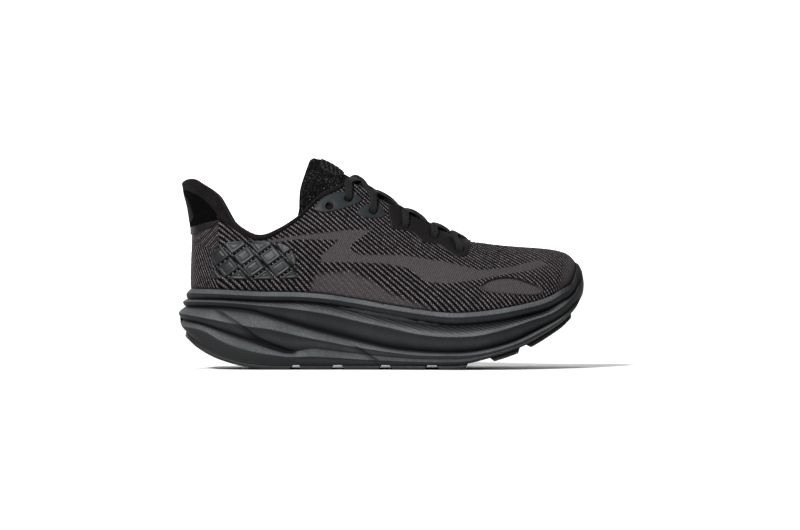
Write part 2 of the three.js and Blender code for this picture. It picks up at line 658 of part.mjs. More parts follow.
for (const { name, foam, ...span } of tongueParts) {
  const foamHighest = TONGUE_COVER + GAP;
  const foamLowest = foamHighest + foam;
  const liningHighest = foamLowest + GAP;
  const cover = { ...span, above: 0, below: TONGUE_COVER, reach: 1 };
  const filling = { ...span, above: foamHighest, below: foamLowest, reach: 0.94 };
  const lining = { ...span, above: liningHighest, below: liningHighest + LINING, reach: 0.97 };
  add(`${name}_cover`, tongueLayer(cover), 0x191819, 1);
  add(`${name}_foam`, tongueLayer(filling), FOAM_COLOUR, 1);
  add(`${name}_lining`, tongueLayer(lining), LINING_COLOUR, 1);
}
add('tongue_label', tongueLayer({
  from: LABEL_SPAN[0], to: LABEL_SPAN[1], above: -GAP - FILM, below: -GAP, reach: LABEL_REACH, uSteps: 4,
}), 0x26272a, 0.5);

// Elastic side panels that hold the tongue's edges down to the insole board.
const gussetOut = -KNIT - 1.0;
for (const [side, label] of SIDES) {
  add(`tongue_gusset_${label}`, layer({
    from: -side * 7, to: -side * 10.5, low: constant(0.12), high: constant(0.72),
    outer: constant(gussetOut), inner: constant(gussetOut - GUSSET), uSteps: 7, vSteps: 5,
  }), 0x2a2829, 1);
}

// ---------- lace ----------
// Centre line of the crossings over the tongue, from the toe end: [x, z], and of the first bar.
const firstBar = [61.5, 96.9];
const crossings = [[48.5, 101.8], [28.5, 112.6], [6.5, 125.2], [-15, 139.6]];
const CROSS_RISE = 1.15; // how far the lace on top, and the one below, stand off the crossing's middle
const OVER = FILM_OUT + 2 * GAP + LACE_THICK / 2; // centre of the lace over the eyestay
const UNDER = -KNIT - GAP - LACE_THICK / 2; // and under it
const throat = new THREE.Vector3(0.84, 0, -0.54); // the way the throat runs, which the lace's width keeps to

// The lace at one hole: over the eyestay edge, down through the hole, and back under the edge.
function throughHole(index, side) {
  const { station, share } = findOnFace(laceHoles[index], side);
  return [
    skinPoint(station, 0.985, OVER + 1),
    skinPoint(station, THREE.MathUtils.lerp(share, 1, 0.45), OVER + 0.5),
    skinPoint(station, share + 0.01, 2.2),
    skinPoint(station, share, -2.9),
    skinPoint(station, THREE.MathUtils.lerp(share, 1, 0.5), UNDER - 0.9),
    skinPoint(station, 0.99, UNDER - 0.5),
  ];
}
// Half of the lace, from the first bar up to its end inside the shoe.
function laceHalf(firstSide) {
  const points = [];
  let side = firstSide;
  laceHoles.forEach((hole, index) => {
    points.push(...throughHole(index, side));
    if (index < crossings.length) {
      const [x, z] = crossings[index];
      const rise = index % 2 === (firstSide === LATERAL ? 0 : 1) ? CROSS_RISE : -CROSS_RISE;
      points.push(new THREE.Vector3(x, 0, z + rise));
      side = -side;
    }
  });
  points.length -= 2;
  const { station, share } = findOnFace(laceHoles[laceHoles.length - 1], side);
  for (const down of [0.07, 0.16, 0.25]) {
    points.push(skinPoint(station, share - down, UNDER - 1.4 - 8 * down));
  }
  return points;
}
// A flat cord along points: its width keeps to one direction as far as its course allows.
function flatCord(points, width, thick, stepsPerSpan) {
  const path = new THREE.CatmullRomCurve3(points, false, 'centripetal');
  const steps = (points.length - 1) * stepsPerSpan;
  const outline = [[1, 1], [-1, 1], [-1, -1], [1, -1]];
  const sides = outline.length;
  const corners = [];
  const triangles = [];
  for (let i = 0; i <= steps; i += 1) {
    const t = i / steps;
    const centre = path.getPoint(t);
    const tangent = path.getTangent(t);
    const wide = throat.clone().addScaledVector(tangent, -throat.dot(tangent)).normalize();
    const thin = new THREE.Vector3().crossVectors(tangent, wide);
    for (const [w, h] of outline) {
      const corner = centre.clone().addScaledVector(wide, (w * width) / 2);
      corners.push(corner.addScaledVector(thin, (h * thick) / 2));
    }
  }
  for (let i = 0; i < steps; i += 1) {
    for (let k = 0; k < sides; k += 1) {
      const [a, b] = [i * sides + k, i * sides + ((k + 1) % sides)];
      triangles.push(a, b, b + sides, a, b + sides, a + sides);
    }
  }
  const end = steps * sides;
  triangles.push(0, 2, 1, 0, 3, 2, end, end + 1, end + 2, end, end + 2, end + 3);
  return geometryFrom(corners, triangles);
}
const halves = [laceHalf(LATERAL), laceHalf(MEDIAL)];
const bar = new THREE.Vector3(firstBar[0], 0, firstBar[1]);
const lacePath = [...[...halves[1]].reverse(), bar, ...halves[0]];
add('lace', flatCord(lacePath, LACE_WIDTH, LACE_THICK, 2), 0x3a3738, 1);

// Stiff tips on the two ends, tucked in beside the tongue.
for (const half of halves) {
  const end = half[half.length - 1];
  const direction = end.clone().sub(half[half.length - 2]).normalize();
  const tip = new THREE.CylinderGeometry(AGLET.radius, AGLET.radius, AGLET.length, 8);
  tip.applyQuaternion(new THREE.Quaternion().setFromUnitVectors(new THREE.Vector3(0, 1, 0), direction));
  const centre = end.clone().addScaledVector(direction, AGLET.length / 2 + GAP);
  tip.translate(centre.x, centre.y, centre.z);
  add(`lace_aglet_${centre.y < 0 ? 'lateral' : 'medial'}`, tip, 0x1a1a1a, 0.4);
}

// The origin is under the middle of the shoe's length and width.
const extent = new THREE.Box3().setFromObject(group);
group.position.x = -(extent.min.x + extent.max.x) / 2;
group.position.y = -(extent.min.y + extent.max.y) / 2;

export default group;
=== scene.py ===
"""Looks of a running shoe for the right foot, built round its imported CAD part.

The shoe is drawn in millimetres: +X to the toe, +Z up, -Y to the outer (lateral) side.
"""

import json
import math

import bpy
import numpy as np
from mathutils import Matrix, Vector


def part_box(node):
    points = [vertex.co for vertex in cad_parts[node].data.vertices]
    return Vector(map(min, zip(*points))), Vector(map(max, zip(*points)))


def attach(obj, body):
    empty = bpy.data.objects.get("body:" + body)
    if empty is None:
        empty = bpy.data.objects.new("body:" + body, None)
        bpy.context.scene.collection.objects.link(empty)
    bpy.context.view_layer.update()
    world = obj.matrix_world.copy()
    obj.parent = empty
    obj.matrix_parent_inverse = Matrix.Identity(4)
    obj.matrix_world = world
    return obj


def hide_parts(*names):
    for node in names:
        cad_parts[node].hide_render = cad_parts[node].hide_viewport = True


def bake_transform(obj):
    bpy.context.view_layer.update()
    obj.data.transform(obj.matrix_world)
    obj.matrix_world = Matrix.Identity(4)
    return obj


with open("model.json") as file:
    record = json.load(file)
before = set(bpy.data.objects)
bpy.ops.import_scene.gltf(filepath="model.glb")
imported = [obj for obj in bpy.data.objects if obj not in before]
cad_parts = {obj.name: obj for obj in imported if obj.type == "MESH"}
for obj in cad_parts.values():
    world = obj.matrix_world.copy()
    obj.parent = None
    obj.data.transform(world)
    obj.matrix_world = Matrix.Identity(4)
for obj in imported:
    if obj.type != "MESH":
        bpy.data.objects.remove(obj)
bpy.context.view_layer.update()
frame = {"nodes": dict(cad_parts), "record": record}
LATERAL, MEDIAL = -1, 1
SIDES = {"lateral": LATERAL, "medial": MEDIAL}

# ---------- where the drawing lies in the frame ----------
REAR_POD_START = -58.0  # heel end of the rear midfoot pod, in the drawing
tongue_low, tongue_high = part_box("tongue_top_cover")
SHIFT = np.array([
    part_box("outsole_midfoot_rear_lateral")[0].x * 1000 - REAR_POD_START,
    (tongue_low.y + tongue_high.y) * 500,
    0.0,
])

# ---------- driving dimensions ----------
# These are the CAD's own, except that the rim runs a little higher round the tip of the toe
# and the knit ends a little lower over the collar, where the padding rolls over it.
KNIT = 1.8  # thickness of the knitted upper
TREAD = 3.0  # thickness of the tread pods
GAP = 0.35  # clearance between pieces that touch
LACE_HOLE = 3.4  # radius of a lace hole
# Lines seen from the side, as [x, z].
FOOTBED = [
    [-140, 35], [-100, 33], [-50, 31.5], [0, 29], [45, 27], [80, 29.5], [110, 36], [130, 43],
    [145, 50],
]
RIM = [
    [-150, 59], [-120, 58.5], [-88, 57], [-60, 56.5], [-40, 55], [-20, 52], [6, 47.5], [28, 44],
    [53, 41.6], [80, 43.5], [107, 48.3], [124, 53], [136, 59.5], [144, 64], [146.5, 70.5],
    [148.5, 75.5], [150.2, 78.5],
]
TREAD_LINE = [
    [-150, 40], [-146, 27], [-140, 20.5], [-133, 15], [-122, 9], [-110, 4.8], [-98, 2], [-85, 0.5],
    [-70, 0], [0, 0], [50, 0], [62, 1], [82, 6], [100, 12], [112, 17.5], [124, 24.7], [134, 31.5],
    [141, 38.5], [146, 46], [151, 58],
]
TOE_SHIFT = 4  # how far the tip of the toe lies to the medial side
# The sole's outline from above, as [x, lateral half width, medial half width].
SOLE_PLAN = [
    [-150, 0, 0], [-146.5, 20, 20], [-135, 35, 34.5], [-115, 44, 43], [-90, 47, 44], [-60, 46, 41.5],
    [-30, 44.5, 40], [0, 47, 41.5], [28, 52, 46], [55, 56.5, 51.5], [80, 57, 54.5], [105, 51, 52],
    [128, 36, 43], [144, 15, 26], [150.2, -TOE_SHIFT, TOE_SHIFT],
]
HEEL_TUCK = 4  # how far the sole's wall leans in towards the rim at the heel
# One strip of the upper to a line: foot [x, y], low and high shaping points, edge, medial share.
STATIONS = [
    [[-133, 0], [-151, 0, 62], [-129, 0, 105], [-148.6, 0, 138.4], 1],
    [[-129, 15], [-144, 21, 62], [-127.5, 18, 103], [-139.5, 15, 139.5], 1],
    [[-118, 26], [-124, 36, 62], [-120, 30, 97], [-121, 23.5, 129.5], 1],
    [[-100, 31], [-104, 43, 60], [-107, 36, 90], [-105, 29, 107], 0.97],
    [[-80, 32], [-82, 45, 58], [-86, 38, 84], [-87, 31, 99], 0.94],
    [[-58, 32], [-59, 46, 58], [-64, 39, 90], [-63, 29.5, 112], 0.92],
    [[-35, 32.5], [-36, 48, 58], [-44, 39, 100], [-43, 25, 131], 0.92],
    [[-8, 36], [-10, 52, 56], [-20, 39, 100], [-21, 18, 137], 0.93],
    [[20, 41], [18, 57, 52], [4, 42, 90], [3, 16, 123.4], 0.95],
    [[48, 46], [47, 62, 50], [30, 44, 82], [28, 14, 109.4], 0.98],
    [[80, 46], [84, 62, 52], [58, 42, 80], [51, 11, 98.4], 1.02],
    [[112, 36], [122, 52, 62], [88, 28, 83], [66, 7, 94.2], 1.1],
    [[130, 19], [148, 29, 86], [111, 15, 86], [71, 3.5, 93.3], 1.3],
    [[138, -TOE_SHIFT], [161.5, -TOE_SHIFT, 99], [124, -2, 84.5], [73, 0, 93], -1],
]
LAST = len(STATIONS) - 1
# How far up its strip the knit reaches, as [station, share].
KNIT_TOP = [
    [0, 0.68], [1, 0.7], [1.8, 0.77], [2.4, 0.845], [3, 0.9], [4, 0.91], [5, 0.93], [6.5, 0.95],
    [7, 1],
]
LACE_HOLES = [[57.7, 87.5], [39, 97.5], [17.7, 105.5], [-5.7, 115.5], [-24, 124.5]]
SPARE_HOLE = [-38, 119.5]
# The tongue's ridge from its foot to its free end, and its [half width, drop at the sides] there.
TONGUE_LINE = [
    [74, 84.5], [62, 89.3], [48, 95.4], [28, 106.2], [6, 119.5], [-15, 133.8], [-33, 148.2],
    [-52, 155.2],
]
TONGUE_SECTION = [
    [15, 6], [17, 8], [18.5, 10.5], [20, 13.5], [19, 17], [17, 22], [17, 32], [19.5, 38],
]
TONGUE_ARC = math.radians(88)  # the angle that the section's sides reach
# The lace's first bar, nearest the toe, and then where its two halves cross.
FIRST_BAR = [61.5, 96.9]
CROSSINGS = [[48.5, 101.8], [28.5, 112.6], [6.5, 125.2], [-15, 139.6]]


# ---------- curves ----------
def line_through(points):
    """A smooth height through the points [x, z], level wherever it turns or runs flat."""
    p = np.array(points, float)
    x, z = p[:, 0], p[:, 1]
    slope = np.gradient(z)
    slope[1:-1] = (z[2:] - z[:-2]) / (x[2:] - x[:-2])
    slope[0] = (z[1] - z[0]) / (x[1] - x[0])
    slope[-1] = (z[-1] - z[-2]) / (x[-1] - x[-2])
    rise = np.diff(z)
    slope[1:-1][rise[:-1] * rise[1:] <= 0] = 0

    def at(value):
        value = np.asarray(value, float)
        i = np.clip(np.searchsorted(x, value, side="right") - 1, 0, len(x) - 2)
        span = x[i + 1] - x[i]
        t = np.clip((value - x[i]) / span, 0, 1)
        first = (1 - t) ** 2 * (z[i] * (1 + 2 * t) + slope[i] * span * t)
        return first + t * t * (z[i + 1] * (3 - 2 * t) - slope[i + 1] * span * (1 - t))

    return at


def loop_through(points):
    """A closed curve through the points; its parameter counts them."""
    p = np.array(points, float)

    def at(t):
        t = np.asarray(t, float) % len(p)
        i = np.floor(t).astype(int)
        f = (t - i)[..., None]
        a, b, c, d = (p[(i + k) % len(p)] for k in (-1, 0, 1, 2))
        bend, twist = 2 * a - 5 * b + 4 * c - d, 3 * b - a - 3 * c + d
        return 0.5 * (2 * b + (c - a) * f + bend * f**2 + twist * f**3)

    return at


def smoothstep(x, low, high):
    """0 below low and 1 above high, with a smooth rise between them."""
    t = np.clip((np.asarray(x, float) - low) / (high - low), 0, 1)
    return t * t * (3 - 2 * t)


def lerp(a, b, t):
    return a + (b - a) * t


def bell(x, middle, reach):
    """1 at the middle, falling away on both sides within about twice the reach."""
    return np.exp(-(((x - middle) / reach) ** 2))


def ripple(phase):
    """1 at every whole number of phase and -1 halfway between them."""
    return np.cos(2 * np.pi * phase)


def rounded(edge, radius):
    """0 at an edge, rising along a quarter circle to 1 at a radius inside it."""
    return np.sqrt(np.clip(1 - (1 - np.clip(edge / radius, 0, 1)) ** 2, 0, 1))


def unit(v):
    return v / np.maximum(np.linalg.norm(v, axis=-1, keepdims=True), 1e-9)


footbed_height = line_through(FOOTBED)
rim_height = line_through(RIM)
tread_height = line_through(TREAD_LINE)
knit_top_share = line_through(KNIT_TOP)


def both_sides(lateral, medial):
    """A closed curve up the lateral points, from the heel to the toe, and back down the medial ones."""
    return loop_through(list(lateral) + list(medial[1:-1])[::-1])


def make_strips():
    """The four closed curves that shape the upper: its foot, two shaping curves and its edge."""
    loops = []
    for k in range(4):
        sides = {LATERAL: [], MEDIAL: []}
        for station in STATIONS:
            x, y, *z = station[k]
            z = z[0] if z else float(footbed_height(x))
            share = 1 if k == 3 and station[4] > 0 else station[4]
            sides[LATERAL].append([x, -y, z])
            sides[MEDIAL].append([x, y * share, z])
        loops.append(both_sides(sides[LATERAL], sides[MEDIAL]))
    return loops


STRIPS = make_strips()


def face_point(station, share):
    """A point of the upper's outer face: station round the shoe, share up the strip."""
    station, share = np.broadcast_arrays(np.asarray(station, float), np.asarray(share, float))
    foot, low, high, edge = (strip(station) for strip in STRIPS)
    t = share[..., None]
    return (1 - t) ** 3 * foot + 3 * (1 - t) ** 2 * t * low + 3 * (1 - t) * t**2 * high + t**3 * edge


def face_normal(station, share):
    """The outward direction of the upper's outer face."""
    step = 0.02
    s = np.clip(share, step, 1 - step)
    along = face_point(station + step, s) - face_point(station - step, s)
    up = face_point(station, s + step) - face_point(station, s - step)
    return unit(np.cross(along, up))


def face_up(station, share):
    """The direction up the strip."""
    return unit(face_point(station, share + 0.01) - face_point(station, share - 0.01))


def skin_point(station, share, out):
    """A point at a distance out from the upper's outer face."""
    out = np.asarray(out, float)[..., None]
    return face_point(station, share) + face_normal(station, share) * out


def knit_share(station):
    """How far up its strip the knit reaches."""
    s = np.abs((np.asarray(station, float) + LAST) % (2 * LAST) - LAST)
    return knit_top_share(s)


def find_on_face(spot, side):
    """The station and share of the face point seen at [x, z] on one side."""
    stations, shares = -side * np.arange(1, 12, 0.05), np.arange(0.2, 1.001, 0.01)
    station, share = np.meshgrid(stations, shares, indexing="ij")
    p = face_point(station, share)
    best = np.argmin(np.hypot(p[..., 0] - spot[0], p[..., 2] - spot[1]))
    return station.flat[best], share.flat[best]


# ---------- meshes ----------
def make_mesh(name, points, quads, material, layers=None):
    """A mesh from points in drawing millimetres; layers are named values of its points."""
    # Where two corners of a quad are one point, it becomes a triangle or nothing.
    distinct = np.ones(quads.shape, bool)
    distinct[:, 1:] = quads[:, 1:] != quads[:, :-1]
    distinct[:, 0] = quads[:, 0] != quads[:, 3]
    good = distinct.sum(1) >= 3
    quads, distinct = quads[good], distinct[good]
    a, b, c, d = (points[quads[:, k]] for k in range(4))
    if (a * (np.cross(b, c) + np.cross(c, d))).sum() < 0:  # inside out
        quads, distinct = quads[:, ::-1], distinct[:, ::-1]
    counts = distinct.sum(1)
    mesh = bpy.data.meshes.new(name)
    mesh.vertices.add(len(points))
    mesh.vertices.foreach_set("co", ((points + SHIFT) * 0.001).astype(np.float32).ravel())
    mesh.loops.add(int(counts.sum()))
    mesh.loops.foreach_set("vertex_index", quads[distinct].astype(np.int32))
    mesh.polygons.add(len(counts))
    starts = np.concatenate([[0], np.cumsum(counts)[:-1]])
    mesh.polygons.foreach_set("loop_start", starts.astype(np.int32))
    mesh.update(calc_edges=True)
    mesh.validate()
    for key, values in (layers or {}).items():
        layer = mesh.attributes.new(key, "FLOAT", "POINT")
        layer.data.foreach_set("value", np.asarray(values, np.float32).ravel())
    mesh.shade_smooth()
    mesh.materials.append(material)
    made = bpy.data.objects.new(name, mesh)
    bpy.context.scene.collection.objects.link(made)
    return made


def grid_quads(rows, cols, wrap_rows=False, wrap_cols=False):
    """The quads of a grid of points, joined up round either way if asked."""
    r = np.arange(rows if wrap_rows else rows - 1)[:, None]
    c = np.arange(cols if wrap_cols else cols - 1)[None, :]
    r1, c1 = (r + 1) % rows, (c + 1) % cols
    corners = [r * cols + c, r1 * cols + c, r1 * cols + c1, r * cols + c1]
    return np.stack([np.broadcast_to(k, (len(r), c.shape[1])).ravel() for k in corners], 1)


def edges_of(quads):
    """The directed edges on the border of a set of quads."""
    a = quads.ravel()
    b = np.roll(quads, -1, axis=1).ravel()
    size = int(quads.max()) + 1
    return np.stack([a, b], 1)[~np.isin(a * size + b, b * size + a)]


def thick_sheet(outer, inner, quads):
    """Points and quads of a closed sheet between two surfaces with the same quads."""
    n = len(outer)
    border = edges_of(quads)
    rim = np.stack([border[:, 1], border[:, 0], border[:, 0] + n, border[:, 1] + n], 1)
    return np.concatenate([outer, inner]), np.concatenate([quads, quads[:, ::-1] + n, rim])


def both_faces(values, used):
    """A thick sheet's layer: the values of a grid's used points, for the outside and the inside."""
    return np.tile(values.ravel()[used], 2)


def across(ring, steps, height):
    """Points and quads that close a ring from each lateral point to its medial partner."""
    count = len(ring)
    half = count // 2
    partner = (count - np.arange(half + 1)) % count
    share = (np.arange(1, steps) / steps)[None, :, None]
    inner = height(lerp(ring[: half + 1][:, None], ring[partner][:, None], share))
    index = np.empty((half + 1, steps + 1), int)
    index[:, 0] = np.arange(half + 1)
    index[:, -1] = partner
    index[:, 1:-1] = count + np.arange((half + 1) * (steps - 1)).reshape(half + 1, -1)
    index[0, :] = 0
    index[half, :] = half
    corners = [index[:-1, :-1], index[1:, :-1], index[1:, 1:], index[:-1, 1:]]
    return inner.reshape(-1, 3), np.stack(corners, -1).reshape(-1, 4)


def closed_stack(rows, steps, first_height, last_height):
    """Points and quads of stacked rings, each end closed by a sheet that follows a height."""
    count = len(rows[0])
    points = np.concatenate(rows)
    quads = [grid_quads(len(rows), count, wrap_cols=True)[:, ::-1]]
    for ring_at, height in ((0, first_height), (len(rows) - 1, last_height)):
        extra, faces = across(rows[ring_at], steps, height)
        moved = np.where(faces < count, faces + ring_at * count, faces - count + len(points))
        quads.append(moved[:, ::-1] if ring_at else moved)
        points = np.concatenate([points, extra])
    return points, np.concatenate(quads)


def polygon_distance(outline, x, z):
    """Signed distance from [x, z] to a closed outline, negative inside."""
    a = np.array(outline, float)
    b = np.roll(a, -1, axis=0)
    p = np.stack([x, z], -1)[..., None, :]
    along = b - a
    t = np.clip(((p - a) * along).sum(-1) / (along**2).sum(-1), 0, 1)
    near = np.sqrt((((p - a) - t[..., None] * along) ** 2).sum(-1)).min(-1)
    crosses = (a[:, 1] > z[..., None]) != (b[:, 1] > z[..., None])
    rise = np.where(along[:, 1] == 0, 1e-9, along[:, 1])
    at = a[:, 0] + (z[..., None] - a[:, 1]) * along[:, 0] / rise
    inside = (crosses & (x[..., None] < at)).sum(-1) % 2 == 1
    return np.where(inside, -near, near)


def smooth_outline(points, samples=60):
    """A closed outline smoothed through its points."""
    return loop_through(points)(np.arange(samples) * len(points) / samples)


# ---------- materials ----------
class Look:
    """One material's nodes. Inputs are numbers, colours or other nodes' outputs."""

    def __init__(self, name):
        self.material = bpy.data.materials.new(name)
        self.material.use_nodes = True
        self.tree = self.material.node_tree
        self.tree.nodes.clear()
        self.shader = self.node("ShaderNodeBsdfPrincipled")
        self.node("ShaderNodeOutputMaterial", {"Surface": self.shader.outputs[0]})
        self.place = self.node("ShaderNodeTexCoord").outputs["Object"]

    def node(self, kind, inputs=None, **settings):
        made = self.tree.nodes.new(kind)
        for key, value in settings.items():
            setattr(made, key, value)
        for key, value in (inputs or {}).items():
            if isinstance(value, bpy.types.NodeSocket):
                self.tree.links.new(value, made.inputs[key])
            else:
                made.inputs[key].default_value = value
        return made

    def layer(self, name):
        return self.node("ShaderNodeAttribute", attribute_name=name).outputs["Fac"]

    def calc(self, operation, a, b=0.0, clamp=False):
        return self.node("ShaderNodeMath", {0: a, 1: b}, operation=operation, use_clamp=clamp).outputs[0]

    def noise(self, scale, detail=2.0, rough=0.5, place=None):
        inputs = {"Vector": place or self.place, "Scale": scale, "Detail": detail, "Roughness": rough}
        return self.node("ShaderNodeTexNoise", inputs).outputs["Fac"]

    def cells(self, scale, place=None):
        inputs = {"Vector": place or self.place, "Scale": scale}
        return self.node("ShaderNodeTexVoronoi", inputs).outputs["Distance"]

    def mix(self, share, a, b):
        made = self.node("ShaderNodeMix", {0: share, 6: opaque(a), 7: opaque(b)}, data_type="RGBA")
        return made.outputs[2]

    def blend(self, share, a, b):
        return self.node("ShaderNodeMix", {0: share, 2: a, 3: b}, data_type="FLOAT").outputs[0]

    def step(self, value, low, high, to_low=0.0, to_high=1.0):
        inputs = {"Value": value, "From Min": low, "From Max": high, "To Min": to_low, "To Max": to_high}
        return self.node("ShaderNodeMapRange", inputs, interpolation_type="SMOOTHSTEP").outputs[0]

    def wave(self, phase):
        """0 to 1 and back once for every whole number of phase."""
        turned = self.calc("MULTIPLY", phase, 2 * math.pi)
        return self.step(self.calc("COSINE", turned), -1.0, 1.0)

    def bump(self, height, distance, strength=1.0, normal=None):
        inputs = {"Height": height, "Distance": distance * 0.001, "Strength": strength}
        if normal is not None:
            inputs["Normal"] = normal
        return self.node("ShaderNodeBump", inputs).outputs[0]

    def finish(self, **sockets):
        names = {
            "colour": "Base Color",
            "roughness": "Roughness",
            "normal": "Normal",
            "sheen": "Sheen Weight",
            "sheen_roughness": "Sheen Roughness",
            "specular": "Specular IOR Level",
        }
        for key, value in sockets.items():
            socket = self.shader.inputs[names[key]]
            if isinstance(value, bpy.types.NodeSocket):
                self.tree.links.new(value, socket)
            else:
                socket.default_value = opaque(value) if key == "colour" else value
        return self.material


def opaque(value):
    """A colour with full alpha; another node's output stays as it is."""
    return value if isinstance(value, bpy.types.NodeSocket) else (*value, 1.0)


def foam_look():
    """Speckled foam, with painted light on the stretches that face up, where its speckle also shows more,
    and painted shade, near black, in the grooves.
    """
    look = Look("midsole_foam")
    grain = look.noise(1600, 3, 0.7)
    cloud = look.noise(45, 2)
    lit, deep, rubber = look.layer("lit"), look.layer("deep"), look.layer("rubber")
    # Painted light: lighter where the wall faces up, and the speckle is stronger there.
    tone = look.mix(lit, (0.0046, 0.0050, 0.0056), (0.036, 0.0385, 0.0402))
    fleck = look.step(grain, 0.48, 0.62, 0.0, 0.8)
    speckle = look.calc("MULTIPLY", fleck, look.step(lit, 0.0, 1.0, 0.08, 1.0))
    tone = look.mix(speckle, tone, (0.080, 0.084, 0.088))
    tone = look.mix(look.step(cloud, 0.3, 0.7, 0.0, 0.3), tone, (0.0045, 0.0048, 0.0054))
    tone = look.mix(rubber, tone, (0.0105, 0.0108, 0.0113))
    # Painted shade, near black, in the grooves, the creases and between the ribs.
    tone = look.mix(look.step(deep, 0.0, 1.0), tone, (0.0007, 0.0007, 0.0009))
    normal = look.bump(grain, 0.12, 0.8)
    rough = look.step(grain, 0.3, 0.7, 0.5, 0.7)
    return look.finish(colour=tone, normal=normal, roughness=rough, specular=0.07)


def rubber_look():
    """Matt black rubber with grey scuffs."""
    look = Look("tread_rubber")
    grain = look.noise(2200, 2, 0.6)
    scuff = look.noise(160, 4, 0.7)
    tone = look.mix(look.step(scuff, 0.45, 0.75), (0.0070, 0.0070, 0.0075), (0.0150, 0.0152, 0.0160))
    rough = look.step(scuff, 0.3, 0.7, 0.5, 0.75)
    return look.finish(colour=tone, roughness=rough, normal=look.bump(grain, 0.06), specular=0.14)


def knit_look():
    """Dark ground with light beaded stripes; where the knit is plain, fine upright ribs instead."""
    look = Look("knit")
    across, along = look.layer("across"), look.layer("along")
    plain, shade = look.layer("plain"), look.layer("shade")
    wobble = look.calc("MULTIPLY", look.calc("SUBTRACT", look.noise(420, 2), 0.5), 0.22)
    across = look.calc("ADD", across, wobble)
    yarn = look.wave(across)
    offset = look.calc("ADD", along, look.calc("MULTIPLY", look.calc("FLOOR", across), 0.37))
    bead = look.wave(offset)
    spark = look.noise(900, 2, 0.6)
    ridge = look.calc("MULTIPLY", look.step(yarn, 0.50, 0.84), look.step(bead, 0.05, 0.6, 0.16, 1.0))
    light = look.mix(look.step(spark, 0.35, 0.68), (0.026, 0.0226, 0.0235), (0.118, 0.1050, 0.1080))
    striped = look.mix(ridge, (0.0009, 0.0007, 0.0008), light)
    stitch = look.wave(look.layer("stitch"))
    flat = look.mix(look.step(stitch, 0.1, 0.9), (0.0095, 0.0082, 0.0086), (0.0350, 0.0308, 0.0320))
    flat = look.mix(look.step(spark, 0.3, 0.72, 0.0, 0.5), flat, (0.046, 0.0405, 0.0420))
    tone = look.mix(plain, striped, flat)
    tone = look.mix(shade, tone, (0.0015, 0.0013, 0.0014))
    height = look.blend(plain, ridge, look.calc("MULTIPLY", stitch, 0.35))
    normal = look.bump(look.noise(2600, 2), 0.08, 0.7, look.bump(height, 0.45, 0.9))
    return look.finish(
        colour=tone, normal=normal, roughness=0.9, sheen=0.015, sheen_roughness=0.4, specular=0.04)


def fabric_look(name, dark, light, scale, bump_mm=0.12, sheen=0.05, ribs=None, fleck=None):
    """A fine cloth: crossed threads over slow cloudy shade, with ribs at a phase if asked."""
    look = Look(name)
    weave = look.cells(scale)
    thread = look.noise(scale * 1.7, 2, 0.6)
    cloud = look.noise(70, 3, 0.6)
    mixed = look.calc("MULTIPLY", look.step(weave, 0.15, 0.75), look.step(thread, 0.3, 0.7))
    tone = look.mix(mixed, dark, light)
    tone = look.mix(look.step(cloud, 0.35, 0.7, 0.0, 0.45), tone, dark)
    if fleck:
        tone = look.mix(look.step(look.noise(scale * 1.6, 2, 0.5), 0.62, 0.74), tone, fleck)
    normal = look.bump(weave, bump_mm, 0.8)
    if ribs:
        rib = look.wave(look.layer(ribs))
        tone = look.mix(look.step(rib, 0.2, 0.8, 0.7, 0.0), tone, dark)
        normal = look.bump(rib, 0.35, 0.8, normal)
    return look.finish(
        colour=tone, normal=normal, roughness=0.92, sheen=sheen, sheen_roughness=0.5, specular=0.02)


def film_look():
    """A smooth bonded film; its layers add painted shade along its pressed line, make it lighter and make it
    warmer.
    """
    look = Look("film")
    grain = look.noise(1400, 3, 0.65)
    cloud = look.noise(90, 2)
    tone = look.mix(look.step(cloud, 0.3, 0.7), (0.0056, 0.0064, 0.0069), (0.0082, 0.0092, 0.0099))
    # Painted shade along the pressed line.
    tone = look.mix(look.layer("deep"), tone, (0.002, 0.002, 0.0025))
    tone = look.mix(look.layer("raised"), tone, (0.0175, 0.0203, 0.0215))
    tone = look.mix(look.layer("warm"), tone, (0.0042, 0.0037, 0.0039))
    rough = look.step(grain, 0.3, 0.7, 0.36, 0.55)
    return look.finish(colour=tone, roughness=rough, normal=look.bump(grain, 0.05, 0.7), specular=0.08)


def lace_look():
    """Two sets of yarns that cross along the lace, with light flecks."""
    look = Look("lace")
    length, turn = look.layer("length"), look.layer("turn")
    left = look.wave(look.calc("ADD", length, turn))
    right = look.wave(look.calc("SUBTRACT", length, turn))
    braid = look.calc("MAXIMUM", left, right)
    fleck = look.noise(1100, 2, 0.7)
    tone = look.mix(look.step(braid, 0.2, 0.9), (0.0012, 0.0011, 0.0012), (0.0088, 0.0081, 0.0084))
    tone = look.mix(look.step(fleck, 0.55, 0.74, 0.0, 0.55), tone, (0.026, 0.0240, 0.0248))
    normal = look.bump(braid, 0.22, 0.9)
    return look.finish(colour=tone, normal=normal, roughness=0.85, sheen=0.02, specular=0.05)


def plain_look(name, dark, light, scale, roughness, bump_mm=0.1, specular=0.4, accent=None):
    """A cloudy material, with patchy accents where the piece's raised layer asks for them: patchy print on
    the tongue label, and on the emblem a painted highlight on the tile rims and a lighter middle in some
    tiles.
    """
    look = Look(name)
    grain = look.noise(scale, 4, 0.65)
    tone = look.mix(look.step(grain, 0.35, 0.65), dark, light)
    if accent:
        # Patches of the print, and of the painted highlight on the emblem's rims.
        wear_and_highlight = look.step(look.noise(scale * 0.8, 3, 0.7), 0.42, 0.66)
        tone = look.mix(look.calc("MULTIPLY", look.layer("raised"), wear_and_highlight), tone, accent)
    normal = look.bump(grain, bump_mm, 0.7)
    return look.finish(colour=tone, roughness=roughness, normal=normal, specular=specular)


def floor_look():
    """The pale, nearly even studio floor."""
    look = Look("studio_floor")
    haze = look.noise(3, 3)
    tone = look.mix(haze, (0.62, 0.62, 0.62), (0.65, 0.65, 0.65))
    return look.finish(colour=tone, roughness=0.9, specular=0.1)


